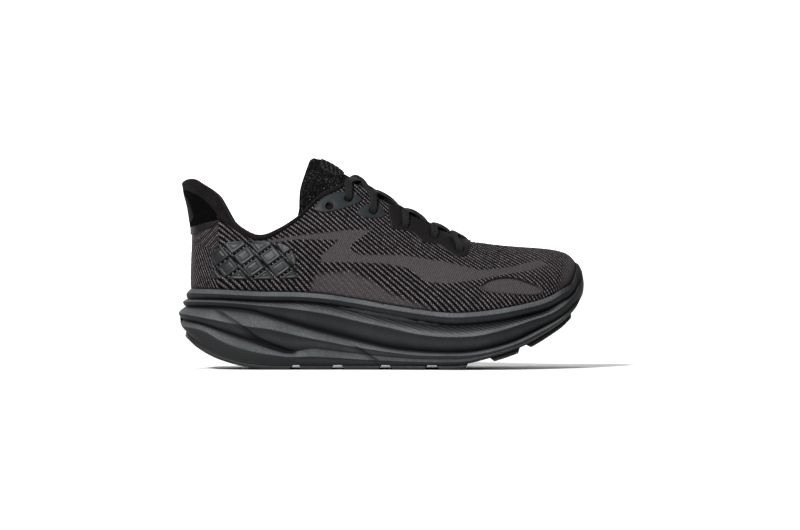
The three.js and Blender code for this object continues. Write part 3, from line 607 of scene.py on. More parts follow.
LOOKS = {
    "midsole_foam": foam_look(),
    "tread_rubber": rubber_look(),
    "knit": knit_look(),
    "collar_fabric": fabric_look(
        "collar_fabric", (0.0020, 0.0016, 0.0017), (0.0120, 0.0098, 0.0100), 1100, sheen=0.02),
    "tab_panel": fabric_look(
        "tab_panel", (0.0004, 0.0004, 0.0004), (0.0034, 0.0032, 0.0033), 900, sheen=0.0,
        ribs="ribs"),
    "tongue_fabric": fabric_look(
        "tongue_fabric", (0.0006, 0.0006, 0.0007), (0.0085, 0.0083, 0.0088), 620, 0.3, sheen=0.0,
        fleck=(0.055, 0.057, 0.060)),
    "lining_mesh": fabric_look(
        "lining_mesh", (0.0015, 0.0015, 0.0015), (0.0085, 0.0080, 0.0080), 800, 0.2),
    "insole_cloth": fabric_look(
        "insole_cloth", (0.0055, 0.0055, 0.0060), (0.0200, 0.0200, 0.0212), 900),
    "elastic": fabric_look("elastic", (0.008, 0.008, 0.008), (0.030, 0.029, 0.030), 1300),
    "film": film_look(),
    "lace": lace_look(),
    "aglet": plain_look("aglet", (0.006, 0.006, 0.006), (0.010, 0.010, 0.011), 300, 0.28, 0.02),
    "emblem": plain_look(
        "emblem", (0.0016, 0.0023, 0.0027), (0.0042, 0.0058, 0.0066), 420, 0.45, 0.06,
        specular=0.16, accent=(0.024, 0.027, 0.027)),
    "tongue_label": plain_look(
        "tongue_label", (0.0010, 0.0010, 0.0011), (0.0036, 0.0037, 0.0039), 900, 0.7,
        specular=0.06, accent=(0.030, 0.032, 0.033)),
    "insole_foam": plain_look(
        "insole_foam", (0.020, 0.020, 0.022), (0.042, 0.042, 0.045), 1500, 0.85, 0.2),
    "padding_foam": plain_look(
        "padding_foam", (0.50, 0.44, 0.27), (0.68, 0.62, 0.42), 1800, 0.95, 0.3, 0.1),
    "stiffener": plain_look("stiffener", (0.55, 0.52, 0.44), (0.68, 0.65, 0.57), 700, 0.6),
    "board_fleece": plain_look(
        "board_fleece", (0.010, 0.010, 0.0105), (0.024, 0.024, 0.025), 1300, 0.95, 0.2, 0.1),
}


def keep(piece, body, slot, *nodes):
    """The piece rides on a body, or on none when no body is given, and stands for its CAD nodes."""
    if body:
        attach(piece, body)
    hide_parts(*nodes)


# ---------- foam sole ----------
# The lines that the crests and grooves of the sole's wall follow, from the top down.
RIDGE = [
    [-150, 49.3], [-141, 49.6], [-115, 49.1], [-82, 46.4], [-60, 43.9], [-38, 40.4], [-15, 35.1],
    [5.7, 30.7], [27.8, 25.9], [50.6, 24], [69, 24.8], [87.5, 28.8], [107.9, 35.4], [126.3, 41.7],
    [139.4, 50.6], [150, 62],
]
MAIN_GROOVE = [
    [-150, 45.8], [-144, 45.9], [-99, 43.5], [-77.6, 38], [-57, 31.8], [-37.8, 26.6], [-15, 20.6],
    [5.7, 15.8], [27.8, 13.3], [50.6, 12.5], [70.5, 13.9], [96.7, 20.3], [116.4, 29],
    [136.1, 40.2], [150, 54],
]
MIDDLE_CREST = [
    [-150, 41], [-124, 36.6], [-97, 31.5], [-81, 29.4], [-57, 24], [-38, 20.3], [-21, 17], [5.7, 13],
    [27.8, 10.6], [52, 10.4], [72, 11.8], [97, 18.3], [116, 27], [136, 38.5], [150, 52],
]
LOW_GROOVE = [[-150, 36.5], [-133, 33.2], [-116.7, 28], [-99, 22.3], [-85, 18.1], [-67, 12.5], [-50, 10]]
LOW_CREST = [[-150, 32], [-130.7, 28.7], [-113, 19.6], [-92, 13.2], [-71, 10], [-55, 8]]
CREASES = [  # thin slices into the foam beside the heel pod and under the midfoot
    [[-123.7, 44.2], [-116.7, 41.4], [-106, 35.4], [-97.5, 29.4], [-88.7, 23.1], [-77.8, 18.1], [-58, 11.1]],
    [[-24, 19.5], [-20, 18.1], [-12, 13.2], [-4.6, 8.5], [1.6, 6.3]],
]
LIP = 3.2  # from the rim down to the lip's crest
WALL_FOOT = 4.6  # how far inside the sole's outline the wall meets the tread
SOLE_COLUMNS = 1100
WALL_ROWS = 120
RIB_PITCH = 2.0  # the fine ribs pressed into the upper face
RIB_SLOPE = math.radians(20)

sole_loop = both_sides(
    [[x, -lateral, 0] for x, lateral, _ in SOLE_PLAN],
    [[x, medial, 0] for x, _, medial in SOLE_PLAN],
)
SOLE_STATIONS = len(SOLE_PLAN) - 1


def tread_point(x, y, into):
    """A point so far into the sole from the ground side of the tread."""
    slope = tread_height(x + 0.5) - tread_height(x - 0.5)
    length = np.hypot(1, slope)
    return np.stack([x - slope * into / length, y + 0 * x, tread_height(x) + into / length], -1)


def sole_edge(station, inset):
    """The sole's outline from above, drawn in by an inset."""
    p = sole_loop(station)
    along = unit(sole_loop(station + 0.05) - sole_loop(station - 0.05))
    inset = np.asarray(inset, float)
    return np.stack([p[..., 0] - along[..., 1] * inset, p[..., 1] + along[..., 0] * inset], -1)


def wall_profile(x, bottom):
    """Heights and insets of the sole wall's crests and grooves at x, from the tread up."""
    rim = rim_height(x)
    low_share = 1 - smoothstep(x, -72, -46)  # the low crest and groove end under the midfoot
    middle = line_through(MIDDLE_CREST)(x)
    height = [
        bottom,
        lerp(lerp(bottom, middle, 0.35), line_through(LOW_CREST)(x), low_share),
        lerp(lerp(bottom, middle, 0.65), line_through(LOW_GROOVE)(x), low_share),
        middle,
        line_through(MAIN_GROOVE)(x),
        line_through(RIDGE)(x),
        rim - lerp(7.5, 9.5, smoothstep(x, -60, 30)),
        rim - LIP,
        rim,
    ]
    at_toe = smoothstep(x, 110, 140)
    tip = smoothstep(x, 143, 150)
    ridge_inset = lerp(1.7, 0.5, smoothstep(x, -148, -128))
    facet_inset = lerp(lerp(4.2, 5.2, smoothstep(x, -140, -110)), 3.0, at_toe)
    inset = [
        lerp(WALL_FOOT, 2.6, tip),
        lerp(1.9, 0.6, low_share),
        lerp(lerp(1.0, 3.4, low_share), 1.4, tip),
        lerp(0.3, 1.2, tip),
        lerp(lerp(4.6, 1.9, at_toe), 1.3, tip),
        lerp(ridge_inset, 0.15, tip),
        lerp(facet_inset, 1.0, tip),
        lerp(1.7, 3.2, tip),
        lerp(lerp(3.0, 2.0, at_toe), 7.0, smoothstep(x, 144, 152)),
    ]
    # The lines run together towards the toe, so each keeps a little height over the one below.
    for k in range(1, 9):
        height[k] = np.maximum(height[k], height[k - 1] + 0.5)
    for k in range(7, -1, -1):
        height[k] = np.minimum(height[k], height[k + 1] - 0.4)
    return np.array(height), np.array(inset)


def crease_depth(x, z):
    """How deep the thin sliced creases cut at [x, z]."""
    depth = 0 * x
    for points in CREASES:
        line = np.array(points, float)
        at = line_through(points)(x)
        begins = smoothstep(x, line[0, 0] - 2, line[0, 0] + 8)
        inside = begins * (1 - smoothstep(x, line[-1, 0] - 6, line[-1, 0]))
        depth = depth + inside * bell(z, at, 0.8) * 0.9
        depth = depth + inside * smoothstep(at - z, 0, 1) * (1 - smoothstep(at - z, 1, 7)) * 0.7
    return depth


def sole_wall():
    """Rows of wall points from the tread up to the rim, with the layers its look needs."""
    station = np.arange(SOLE_COLUMNS) / SOLE_COLUMNS * 2 * SOLE_STATIONS
    x = sole_loop(station)[:, 0]
    base = sole_edge(station, WALL_FOOT + 0 * x)
    bottom = tread_point(base[:, 0], base[:, 1], TREAD + GAP)
    height, inset = wall_profile(x, bottom[:, 2])
    # Knots give each stretch between neighbouring crests and grooves its share of the rows.
    knots = np.array([0, 1, 2, 3.4, 4.6, 5.8, 7.0, 8.0, 8.6])
    row = np.linspace(0, knots[-1], WALL_ROWS)
    i = np.clip(np.searchsorted(knots, row, side="right") - 1, 0, 7)
    t = ((row - knots[i]) / (knots[i + 1] - knots[i]))[:, None]
    z = lerp(height[i], height[i + 1], t)
    to_crest = inset[i + 1] < inset[i]  # the row's stretch climbs out of a groove
    out_share = np.where(to_crest, 1 - (1 - t) ** 1.7, t**1.7)
    deep = lerp(inset[i], inset[i + 1], out_share)
    share = (z - height[0]) / (height[8] - height[0])
    at_heel = 1 - smoothstep(x, -135, -60)
    heel_lean = HEEL_TUCK * at_heel + 3.0 * (1 - smoothstep(x, -147, -125))
    deep = deep + heel_lean * share**3
    strength = lerp(0.35, 1.0, smoothstep(x, -80, 30)) * (1 - smoothstep(x, 120, 140))
    phase = (x * math.sin(RIB_SLOPE) + z * math.cos(RIB_SLOPE)) / RIB_PITCH
    facet = (z - height[5]) / (height[6] - height[5])
    band = smoothstep(facet, 0.1, 0.45) * (1 - smoothstep(z, height[6] + 1.0, height[6] + 2.5))
    ribs = band * strength * (0.5 - 0.5 * ripple(phase))
    crease = crease_depth(x + 0 * z, z)
    deep = deep + 0.5 * ribs + crease
    edge = sole_edge(np.broadcast_to(station, z.shape), deep)
    low = tread_point(edge[..., 0], edge[..., 1], TREAD + GAP)
    lean = np.minimum(1, share * 4)
    points = np.stack(
        [lerp(low[..., 0], edge[..., 0], lean), edge[..., 1], np.maximum(z, low[..., 2])], -1)
    # Painted light and shade: a stretch that faces up is painted lighter, less so under the ridge, and the
    # undersides get a little painted light; the bottom of a groove is painted dark.
    band_at = i[:, None]
    faces_up = np.where(band_at % 2 == 1, 1.0, 0.0)
    groove_at = np.isin(band_at, [2, 4, 6]) * (1 - t) ** 3 + np.isin(band_at, [1, 3, 5]) * t**4
    groove_at = groove_at * np.where(np.isin(band_at, [1, 2]), 1 - smoothstep(x, -72, -46), 1)
    under_ridge = 1 - lerp(0.0, 0.85, strength) * smoothstep(t, 0.2, 0.62)
    fade = np.where(band_at == 5, under_ridge, (1 - t) ** 0.35)
    painted_underside_light = (1 - faces_up) * 0.22 * np.sin(np.pi * np.clip(t, 0, 1)) ** 2  # on the undersides
    lit = faces_up * fade * (1 - 0.6 * ribs) + painted_underside_light
    # The lip gets strong painted light; painted shade darkens the tip of the toe and, a little, the heel.
    lit = np.where(band_at == 7, 0.9, lit) * (1 - 0.85 * smoothstep(x, 128, 145))
    lit = lit * lerp(0.85, 1, smoothstep(x, -100, -40))
    # Painted shade in the grooves, the creases and the rib grooves, carried in the deep layer.
    dark = np.clip(1.15 * groove_at + crease * 0.7 + 0.5 * ribs * (1 - lit), 0, 1)
    rubber = (1 - smoothstep(z, height[1] - 0.8, height[1] + 0.2)) * (1 - smoothstep(x, -64, -58))
    return points, {"lit": lit, "deep": dark, "rubber": rubber}


def cavity_rows(rim_points):
    """The sole's inner wall, from the rim down to the footbed, just outside the knit."""
    station = np.linspace(0, 2 * LAST, 2001)[:-1]
    share = np.linspace(0, 0.6, 61)
    p = face_point(station[:, None], share[None, :])
    every = np.arange(len(station))
    near = np.zeros(len(rim_points))
    top = np.zeros(len(rim_points))
    for k, q in enumerate(rim_points):
        level = np.argmin(np.abs(p[..., 2] - q[2] + 1.0), axis=1)
        best = np.argmin(((p[every, level, :2] - q[:2]) ** 2).sum(1))
        near[k] = station[best]
        top[k] = share[level[best]]
    rows = [skin_point(near, top * (1 - k / 5), np.full(len(near), GAP)) for k in range(6)]
    rows[-1][:, 2] -= GAP
    return rows


def make_sole():
    """The foam midsole: its wall, its cavity, and sheets across the tread and the footbed."""
    wall, layers = sole_wall()
    rows = [*wall, *cavity_rows(wall[-1])]

    def on_tread(p):
        return tread_point(p[..., 0], p[..., 1], TREAD + GAP)

    def on_footbed(p):
        return np.stack([p[..., 0], p[..., 1], footbed_height(p[..., 0]) - GAP], -1)

    points, quads = closed_stack(rows, 8, on_tread, on_footbed)
    filled = {}
    for key, values in layers.items():
        # The cavity and the end sheets get a middling painted light and no painted groove shade.
        rest = np.full(len(points) - values.size, 0.3 if key == "lit" else 0.0)
        filled[key] = np.concatenate([values.ravel(), rest])
    made = make_mesh("foam_sole", points, quads, LOOKS["midsole_foam"], filled)
    keep(made, "shoe", "midsole_foam", "midsole")


# ---------- tread pods ----------
POD_EDGE = 5.5  # how far the pods lie inside the sole's outline
TOE_POD = (109, 141)
# Name, rear end, front end, and where the inner edge lies as a share of the half width.
PODS = [
    ("heel", -145, -66, 0.3),
    ("midfoot_rear", REAR_POD_START, -36, 0.42),
    ("midfoot_front", -27, -1, 0.42),
    ("forefoot_rear", 8, 32.5, 0.12),
    ("forefoot_middle", 42, 62.5, 0.12),
    ("forefoot_front", 82, 101, 0.12),
]


def half_width(x, side):
    """Where the pods' outer edge runs at x: the sole's outline drawn in by POD_EDGE."""
    station = -side * np.linspace(0, SOLE_STATIONS, 1500)
    edge = sole_edge(station, np.full(len(station), POD_EDGE))
    order = np.argsort(edge[:, 0])
    return np.interp(x, edge[order, 0], edge[order, 1])


def make_pod(name, x0, x1, side_to_side):
    """A rubber pod with rounded edges and cut grooves under it.

    side_to_side gives y at x for a share of the way from one edge to the other.
    """
    cols, rows = max(24, int((x1 - x0) / 0.8)), 44
    u, v = np.meshgrid(np.linspace(0, 1, cols), np.linspace(0, 1, rows), indexing="ij")
    x = lerp(x0, x1, u)
    y = side_to_side(x, v)
    width = np.abs(y[:, -1:] - y[:, :1])
    edge = np.minimum.reduce([u * (x1 - x0), (1 - u) * (x1 - x0), v * width, (1 - v) * width])
    round_in = 1.1 * (1 - rounded(edge, 1.4))
    slanted = smoothstep(ripple((x * 0.8 + np.abs(y) * 0.6) / 6.5), 0.72, 0.92)
    cross = smoothstep(ripple((np.abs(y) - 0.25 * x) / 13), 0.93, 0.985)
    depth = round_in + np.maximum(slanted, cross) * smoothstep(edge, 1.6, 2.6)
    low = tread_point(x, y, depth)
    from_middle = np.maximum(np.abs(u - 0.5) * 2 - 0.8, 0)
    flare = 8 * np.sign(u - 0.5) * from_middle  # the ends slope out to the foam
    high = tread_point(x + flare, y, np.full(x.shape, TREAD + GAP))
    points, quads = thick_sheet(low.reshape(-1, 3), high.reshape(-1, 3), grid_quads(cols, rows))
    made = make_mesh(f"tread_{name}", points, quads, LOOKS["tread_rubber"])
    keep(made, "shoe", "tread_rubber", f"outsole_{name}")


def make_tread():
    """Each row of PODS on both sides, and one pod across the toe."""
    for label, side in SIDES.items():
        for name, x0, x1, inner in PODS:
            make_pod(f"{name}_{label}", x0, x1,
                     lambda x, v: half_width(x, side) * lerp(inner, 1, v))
    make_pod("toe", *TOE_POD,
             lambda x, v: lerp(half_width(x, LATERAL), half_width(x, MEDIAL), v) * 0.93)


# ---------- upper ----------
KNIT_COLUMNS = 1040
KNIT_ROWS = 150
STRIPE_PITCH = 3.2
BEAD_PITCH = 1.9  # of the light stitches along a stripe
FINE_PITCH = 2.1  # of the finer stripes under the heel tab
STRIPE_ACROSS = (0.743, 0.669)  # the direction in which the stripes follow each other, as (x, z)
HEEL_FOLD = -119.0  # behind this line the stripes turn steeper
HALF_WIDTH = 45  # of the shoe, where the ribs start to turn round the toe and the heel
RIB_SPACING = 1.25
RIB_ACROSS = (0.94, 0.34)  # the same for the plain knit's ribs
STRIP_LENGTH = 110  # of the strips beside the collar, about
# Outlines of plain knit, seen from the side.
PLAIN_BOLT = [
    [-88, 93.3], [-63.6, 97.4], [-41.5, 99.9], [-26.8, 101.8], [-6.9, 102.1], [-21.6, 91.8], [-22.3, 87.4],
    [-15, 83.7], [14.5, 83.7], [25.6, 82.2], [48.4, 78.6], [72.7, 72.7], [96.3, 75.2], [117, 80.8],
    [120.6, 76.4], [109.6, 73], [89.7, 69.7], [70.5, 66], [48.4, 63.1], [32.2, 64.6], [21.2, 74.1],
    [2.7, 77.8], [-21.6, 78.6], [-43, 78.6], [-43.7, 83], [-37.8, 88.1], [-30.4, 94.8], [-59.9, 95.5],
    [-88, 91.8],
]
PLAIN_WEDGE = [
    [-46.7, 68.2], [-23.1, 71.2], [-6.9, 63.8], [5.7, 55], [19.7, 49.8], [34.4, 43.9],
    [13.8, 42], [-15.7, 46], [-37.8, 50], [-52.5, 54],
]


HOLE_CENTRES = np.array([
    face_point(*find_on_face(spot, side))
    for side in SIDES.values()
    for spot in [*LACE_HOLES, SPARE_HOLE]
])


def inside_holes(points):
    """How far inside a lace hole a point lies, negative where there is material."""
    near = np.sqrt(((points[..., None, :] - HOLE_CENTRES) ** 2).sum(-1)).min(-1)
    return LACE_HOLE - 0.6 - near


def slide_to_edge(station, share, distance, moving):
    """Moves the marked grid points over the face until their distance is zero."""
    for _ in range(4):
        s, t = station[moving], share[moving]
        d = distance(face_point(s, t))
        ds, dt = 0.004, 0.0008
        gs = (distance(face_point(s + ds, t)) - d) / ds
        gt = (distance(face_point(s, t + dt)) - d) / dt
        per_station = np.linalg.norm(face_point(s + ds, t) - face_point(s, t), axis=-1) / ds
        per_share = np.linalg.norm(face_point(s, t + dt) - face_point(s, t), axis=-1) / dt
        ms, mt = gs / per_station, gt / per_share
        size = np.maximum(ms**2 + mt**2, 0.05)
        station[moving] -= np.clip(d * ms / size, -1.2, 1.2) / per_station
        share[moving] -= np.clip(d * mt / size, -1.2, 1.2) / per_share


def kept_part(quads, inside, count):
    """The quads that lie inside, renumbered, and which of the grid's points they use."""
    used = np.zeros(count, bool)
    used[quads[inside].ravel()] = True
    return (np.cumsum(used) - 1)[quads[inside]], used


def trimmed_grid(station, share, distance, wrap=False):
    """The quads of a face grid whose middles lie inside, with their border moved onto the edge."""
    rows, cols = station.shape
    quads = grid_quads(rows, cols, wrap_rows=wrap)
    d = distance(face_point(station, share)).ravel()
    inside = d[quads].mean(1) < 0
    kept, used = kept_part(quads, inside, len(d))
    cut = np.zeros(len(d), bool)
    cut[quads[~inside].ravel()] = True
    slide_to_edge(station, share, distance, (used & cut).reshape(rows, cols))
    return kept, used


def strip_length(station, share):
    """Length up the strip to each point of a grid with one station to a row."""
    p = face_point(station, share)
    step = np.linalg.norm(np.diff(p, axis=1), axis=-1)
    first = np.linalg.norm(p[:, :1] - face_point(station[:, :1], 0 * share[:, :1]), axis=-1)
    return np.concatenate([first, first + np.cumsum(step, axis=1)], axis=1)


def knit_layers(p):
    """The pattern of the knit at its points: stripes, beads and plain areas."""
    x, z = p[..., 0], p[..., 2]
    rise = z - np.abs(p[..., 1])  # distance up the side and on over the top
    behind = np.minimum(x - HEEL_FOLD, 0) + np.minimum(np.abs(p[..., 1]) - 30, 0) * (x < HEEL_FOLD)
    over, up = STRIPE_ACROSS
    across_stripe = (over * x + 0.9 * behind + up * rise) / STRIPE_PITCH
    along_stripe = (up * x - over * rise) / BEAD_PITCH
    heel = 1 - smoothstep(x, HEEL_FOLD - 1, HEEL_FOLD + 1)
    fine = heel * smoothstep(z + 0.3 * (x - HEEL_FOLD), 86, 88)
    mirrored = (-0.45 * (x + behind) + 0.9 * z) / FINE_PITCH
    across_stripe = np.where(fine > 0.5, mirrored, across_stripe)
    bolt = 1 - smoothstep(polygon_distance(PLAIN_BOLT, x, z), -0.5, 0.6)
    wedge = 1 - smoothstep(polygon_distance(PLAIN_WEDGE, x, z), -2.0, 3.0)
    toe = smoothstep(x - 0.35 * (z - 60), 127, 135)
    counter = (1 - smoothstep(x, -139, -135)) * 0.6
    soft = 0.2 * smoothstep(x, 80, 120) * smoothstep(z, 62, 80)  # the stripes fade over the toes
    plain = np.clip(bolt + wedge * 0.85 + toe + counter + soft + 0.2 * fine, 0, 1)
    # The plain knit's fine ribs stand upright all the way round the toe and the heel.
    round_toe = smoothstep(x, 70, 130)
    round_heel = 1 - smoothstep(x, -135, -90)
    around = x + (round_heel - round_toe) * (np.abs(p[..., 1]) - HALF_WIDTH)
    return {
        "across": across_stripe,
        "along": along_stripe,
        "plain": plain,
        "stitch": rib_phase(around, z),
    }


def rib_phase(x, z):
    """Counts the plain knit's ribs."""
    return (RIB_ACROSS[0] * x + RIB_ACROSS[1] * z) / RIB_SPACING


def make_knit():
    """The knitted upper, with raised stripes and its lace holes cut."""
    v = np.linspace(0.04, 1, KNIT_ROWS)
    station = np.repeat(np.arange(KNIT_COLUMNS)[:, None] / KNIT_COLUMNS * 2 * LAST, KNIT_ROWS, 1)
    share = v[None, :] * knit_share(station)
    quads, used = trimmed_grid(station, share, inside_holes, wrap=True)
    p = face_point(station, share)
    layers = knit_layers(p)
    from_top = (knit_share(station) - share) * STRIP_LENGTH
    above_rim = p[..., 2] - rim_height(p[..., 0])
    layers["shade"] = 0.85 * (1 - smoothstep(above_rim, 0.4, 2.2))
    ridge = smoothstep(0.5 + 0.5 * ripple(layers["across"]), 0.3, 0.8)
    relief = 0.38 * ridge * (1 - layers["plain"]) - 0.3
    normal = face_normal(station, share)
    rolled = 0.7 * (1 - smoothstep(from_top, 0.0, 1.2))  # the top edge rolls in
    outer = (p + normal * (relief - rolled)[..., None]).reshape(-1, 3)[used]
    inner = (p - normal * KNIT).reshape(-1, 3)[used]
    points, faces = thick_sheet(outer, inner, quads)
    flat = {key: both_faces(values, used) for key, values in layers.items()}
    made = make_mesh("knit_shell", points, faces, LOOKS["knit"], flat)
    keep(made, "shoe", "knit", "knit_upper")


# ---------- padded pieces ----------
PUFF_SCALE = 20  # the cloth is solved this much larger, where its forces act as they should
PUFF_FRAMES = 20


def pad_mesh(name, sections, material, layers=None):
    """A closed pad through sections, each a closed loop of the same number of points."""
    count, around = sections.shape[:2]
    middle = np.stack([sections[0].mean(0), sections[-1].mean(0)])
    points = np.concatenate([sections.reshape(-1, 3), middle])
    c = np.arange(around)
    c1 = (c + 1) % around
    last = (count - 1) * around
    first_cap = np.stack([c, c1, 0 * c + len(points) - 2, 0 * c + len(points) - 2], 1)
    last_cap = np.stack([last + c1, last + c, 0 * c + len(points) - 1, 0 * c + len(points) - 1], 1)
    quads = np.concatenate([grid_quads(count, around, wrap_cols=True), first_cap, last_cap])
    filled = {key: np.concatenate([values.ravel(), [0, 0]]) for key, values in (layers or {}).items()}
    return make_mesh(name, points, quads, material, filled)


def puff(piece, held, pressure, most):
    """Swells a stitched pad as cloth under pressure, by at most so many millimetres."""
    mesh = piece.data
    rest = np.empty(len(mesh.vertices) * 3)
    mesh.vertices.foreach_get("co", rest)
    rest = rest.reshape(-1, 3)
    mesh.vertices.foreach_set("co", (rest * PUFF_SCALE).ravel())
    group = piece.vertex_groups.new(name="held")
    for weight in np.unique(held):
        group.add(np.nonzero(held == weight)[0].tolist(), float(weight), "REPLACE")
    cloth = piece.modifiers.new("cloth", "CLOTH")
    cloth.settings.quality = 6
    cloth.settings.mass = 0.15
    cloth.settings.tension_stiffness = 8
    cloth.settings.compression_stiffness = 8
    cloth.settings.use_pressure = True
    cloth.settings.uniform_pressure_force = pressure
    cloth.settings.vertex_group_mass = "held"
    cloth.settings.effector_weights.gravity = 0
    cloth.collision_settings.use_collision = False
    cloth.point_cache.frame_end = PUFF_FRAMES
    scene = bpy.context.scene
    for step in range(1, PUFF_FRAMES + 1):
        scene.frame_set(step)
    solved = piece.evaluated_get(bpy.context.evaluated_depsgraph_get()).data
    moved = np.empty(len(solved.vertices) * 3)
    solved.vertices.foreach_get("co", moved)
    scene.frame_set(1)
    piece.modifiers.clear()
    piece.vertex_groups.clear()
    change = moved.reshape(-1, 3) / PUFF_SCALE - rest
    size = np.linalg.norm(change, axis=1, keepdims=True)
    limit = most * 0.001
    change = change * np.minimum(1, limit * np.tanh(size / limit) / np.maximum(size, 1e-9))
    mesh.vertices.foreach_set("co", (rest + change).ravel())
    mesh.update()


def smooth_finer(piece, levels):
    """Applies a subdivision surface to a piece."""
    finer = piece.modifiers.new("finer", "SUBSURF")
    finer.levels = finer.render_levels = levels
    finer.boundary_smooth = "PRESERVE_CORNERS"
    solved = bpy.data.meshes.new_from_object(piece.evaluated_get(bpy.context.evaluated_depsgraph_get()))
    piece.modifiers.clear()
    piece.data = solved


# ---------- collar and heel tab ----------
COLLAR_END = 6.95  # the station on either side where the padding ends
COLLAR_SECTIONS = 330
TAB_DEPTH = 7.6  # thickness of the heel tab
TAB_SEAM = [
    [-148, 133.5], [-144.4, 132.1], [-136.9, 129], [-130.9, 125.3], [-125.7, 120.8],
    [-121.9, 116.3], [-116, 109],
]
tab_seam_height = line_through(TAB_SEAM)


def collar_depth(station, share):
    """Thickness from the face to the inside of the padded lining."""
    s = np.abs(station)
    collar = 6.9 + 4.5 * smoothstep(share, 0.5, 0.75)
    at_top = lerp(collar, KNIT + 2.2, smoothstep(s, 3.8, 5.6))
    on_tab = lerp(TAB_DEPTH, at_top, smoothstep(s, 1.5, 2.6))
    return lerp(at_top, on_tab, smoothstep(share, 0.66, 0.76))


def collar_sections():
    """Closed loops of the padded collar: up the outside, over the edge and down the lining."""
    station = np.linspace(-COLLAR_END, COLLAR_END, COLLAR_SECTIONS)[:, None]
    s = np.abs(station)
    ends = np.sqrt(np.clip(1 - smoothstep(s, COLLAR_END - 0.35, COLLAR_END) ** 2, 0.02, 1))
    length = strip_length(station + np.zeros((1, 24)), np.linspace(0, 1, 24)[None, :] + 0 * station)[:, -1:]
    depth_top = collar_depth(station, 0.98 + 0 * station) * ends
    height = np.minimum(0.46 * depth_top, 4.6)
    top = 1 - height / length
    low = knit_share(station) - 0.03
    inner_low = lerp(lerp(0.12, 0.72, smoothstep(s, 4.9, 5.9)), 0.93, smoothstep(s, 6.5, 6.8))
    tuck = -KNIT - 0.3
    bulge = lerp(1.0, 0.2, smoothstep(s, 5.6, 6.8))

    t = np.linspace(0, 1, 16)[None, :]
    outer_share = lerp(low, top, t)
    rise = smoothstep(outer_share, knit_share(station) - 0.012, knit_share(station) + 0.02)
    outer_out = lerp(tuck, bulge, rise) * ends
    outer = skin_point(station, outer_share, outer_out)

    angle = np.linspace(0, math.pi, 13)[None, 1:-1]
    radius = (depth_top + bulge * ends) / 2
    base = skin_point(station, top, bulge * ends - radius)
    out = face_normal(station, top)
    up = face_up(station, top)
    over = base + out * (radius * np.cos(angle))[..., None] + up * (height * np.sin(angle))[..., None]

    t = np.linspace(0, 1, 26)[None, :]
    inner_share = lerp(top, inner_low, t)
    inner = skin_point(station, inner_share, -collar_depth(station, inner_share) * ends)

    t = np.linspace(0, 1, 9)[None, 1:-1]
    back_share = lerp(inner_low, low, t)
    back = skin_point(station, back_share, lerp(-4.2, tuck, smoothstep(back_share, 0.58, 0.64)) * ends)
    share = np.concatenate([outer_share, top + 0 * angle, inner_share, back_share], axis=1)
    # 0 on the outside, 0 to 1 over the edge, 1 on the lining and 2 on the hidden back.
    side = np.concatenate(
        [0 * outer_share, angle / math.pi + 0 * station, 1 + 0 * inner_share, 2 + 0 * back_share],
        axis=1)
    return np.concatenate([outer, over, inner, back], axis=1), share, side, station


def make_collar():
    """The padded ring of the collar and the heel tab, in one swelled piece."""
    sections, share, side, station = collar_sections()
    made = pad_mesh("collar_pad", sections, LOOKS["collar_fabric"])
    from_seam = np.abs(share - knit_share(station) - 0.005)
    held = np.where((side < 0.5) & (from_seam < 0.02), 1.0, 0.0) + np.where(side == 2, 1.0, 0.0)
    held = held + np.where((side == 1) & (share < 0.3), 1.0, 0.0)
    held = held + 0.25 * ((side == 1) & (np.abs(share - 0.62) < 0.03))
    puff(made, np.concatenate([np.clip(held, 0, 1).ravel(), [1, 1]]), 5.0, 1.0)
    smooth_finer(made, 1)
    keep(made, None, "collar_fabric", "collar_foam", "collar_lining", "collar_binding_lateral",
         "collar_binding_medial", "heel_tab_foam", "heel_tab_lining")
    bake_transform(made)


def tab_distance(points):
    """How far outside the heel tab's back panel a face point lies."""
    x, z = points[..., 0], points[..., 2]
    slope = tab_seam_height(x + 0.5) - tab_seam_height(x - 0.5)
    return (z - tab_seam_height(x)) / np.hypot(1, slope)


def make_tab_panel():
    """The ribbed panel on the outside of the heel tab."""
    station = np.repeat(np.linspace(-2.05, 2.05, 150)[:, None], 90, 1)
    low = knit_share(station)
    share = low - 0.006 + (1.0 - low) * np.linspace(0, 1, 90)[None, :]
    length = strip_length(station, share)
    quads, used = trimmed_grid(station, share, tab_distance)
    p = face_point(station, share)
    edge = np.minimum(-tab_distance(p), (share - low) * STRIP_LENGTH + 0.8)
    normal = face_normal(station, share)
    ribs = station * 17 + 0.05 * length
    relief = 0.12 * ripple(ribs) * smoothstep(edge, 1.5, 3)
    outer = p + normal * (-0.4 + 1.7 * rounded(edge, 1.6) + relief)[..., None]
    inner = p - normal * 1.2
    points, faces = thick_sheet(outer.reshape(-1, 3)[used], inner.reshape(-1, 3)[used], quads)
    layers = {"ribs": both_faces(ribs, used)}
    made = make_mesh("heel_tab_panel", points, faces, LOOKS["tab_panel"], layers)
    keep(made, None, "collar_fabric", "heel_tab_cover")
    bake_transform(made)


# ---------- tongue ----------
TONGUE_BEND_SHARES = (0.69, 0.785)  # two shares along the tongue, at which make_tongue works out two points that it does not use
TONGUE_SIDE = 0.97  # share across the tongue where its rolled sides start
TONGUE_SEAM = 4.8  # from the tongue's border to its stitched seam


def along_tongue(points, column):
    """One column of points as a smooth function of the share along the tongue."""
    shares = np.linspace(0, 1, len(points))
    return line_through(np.stack([shares, np.array(points)[:, column]], 1))


tongue_x = along_tongue(TONGUE_LINE, 0)
tongue_z = along_tongue(TONGUE_LINE, 1)
tongue_width = along_tongue(TONGUE_SECTION, 0)
tongue_drop = along_tongue(TONGUE_SECTION, 1)


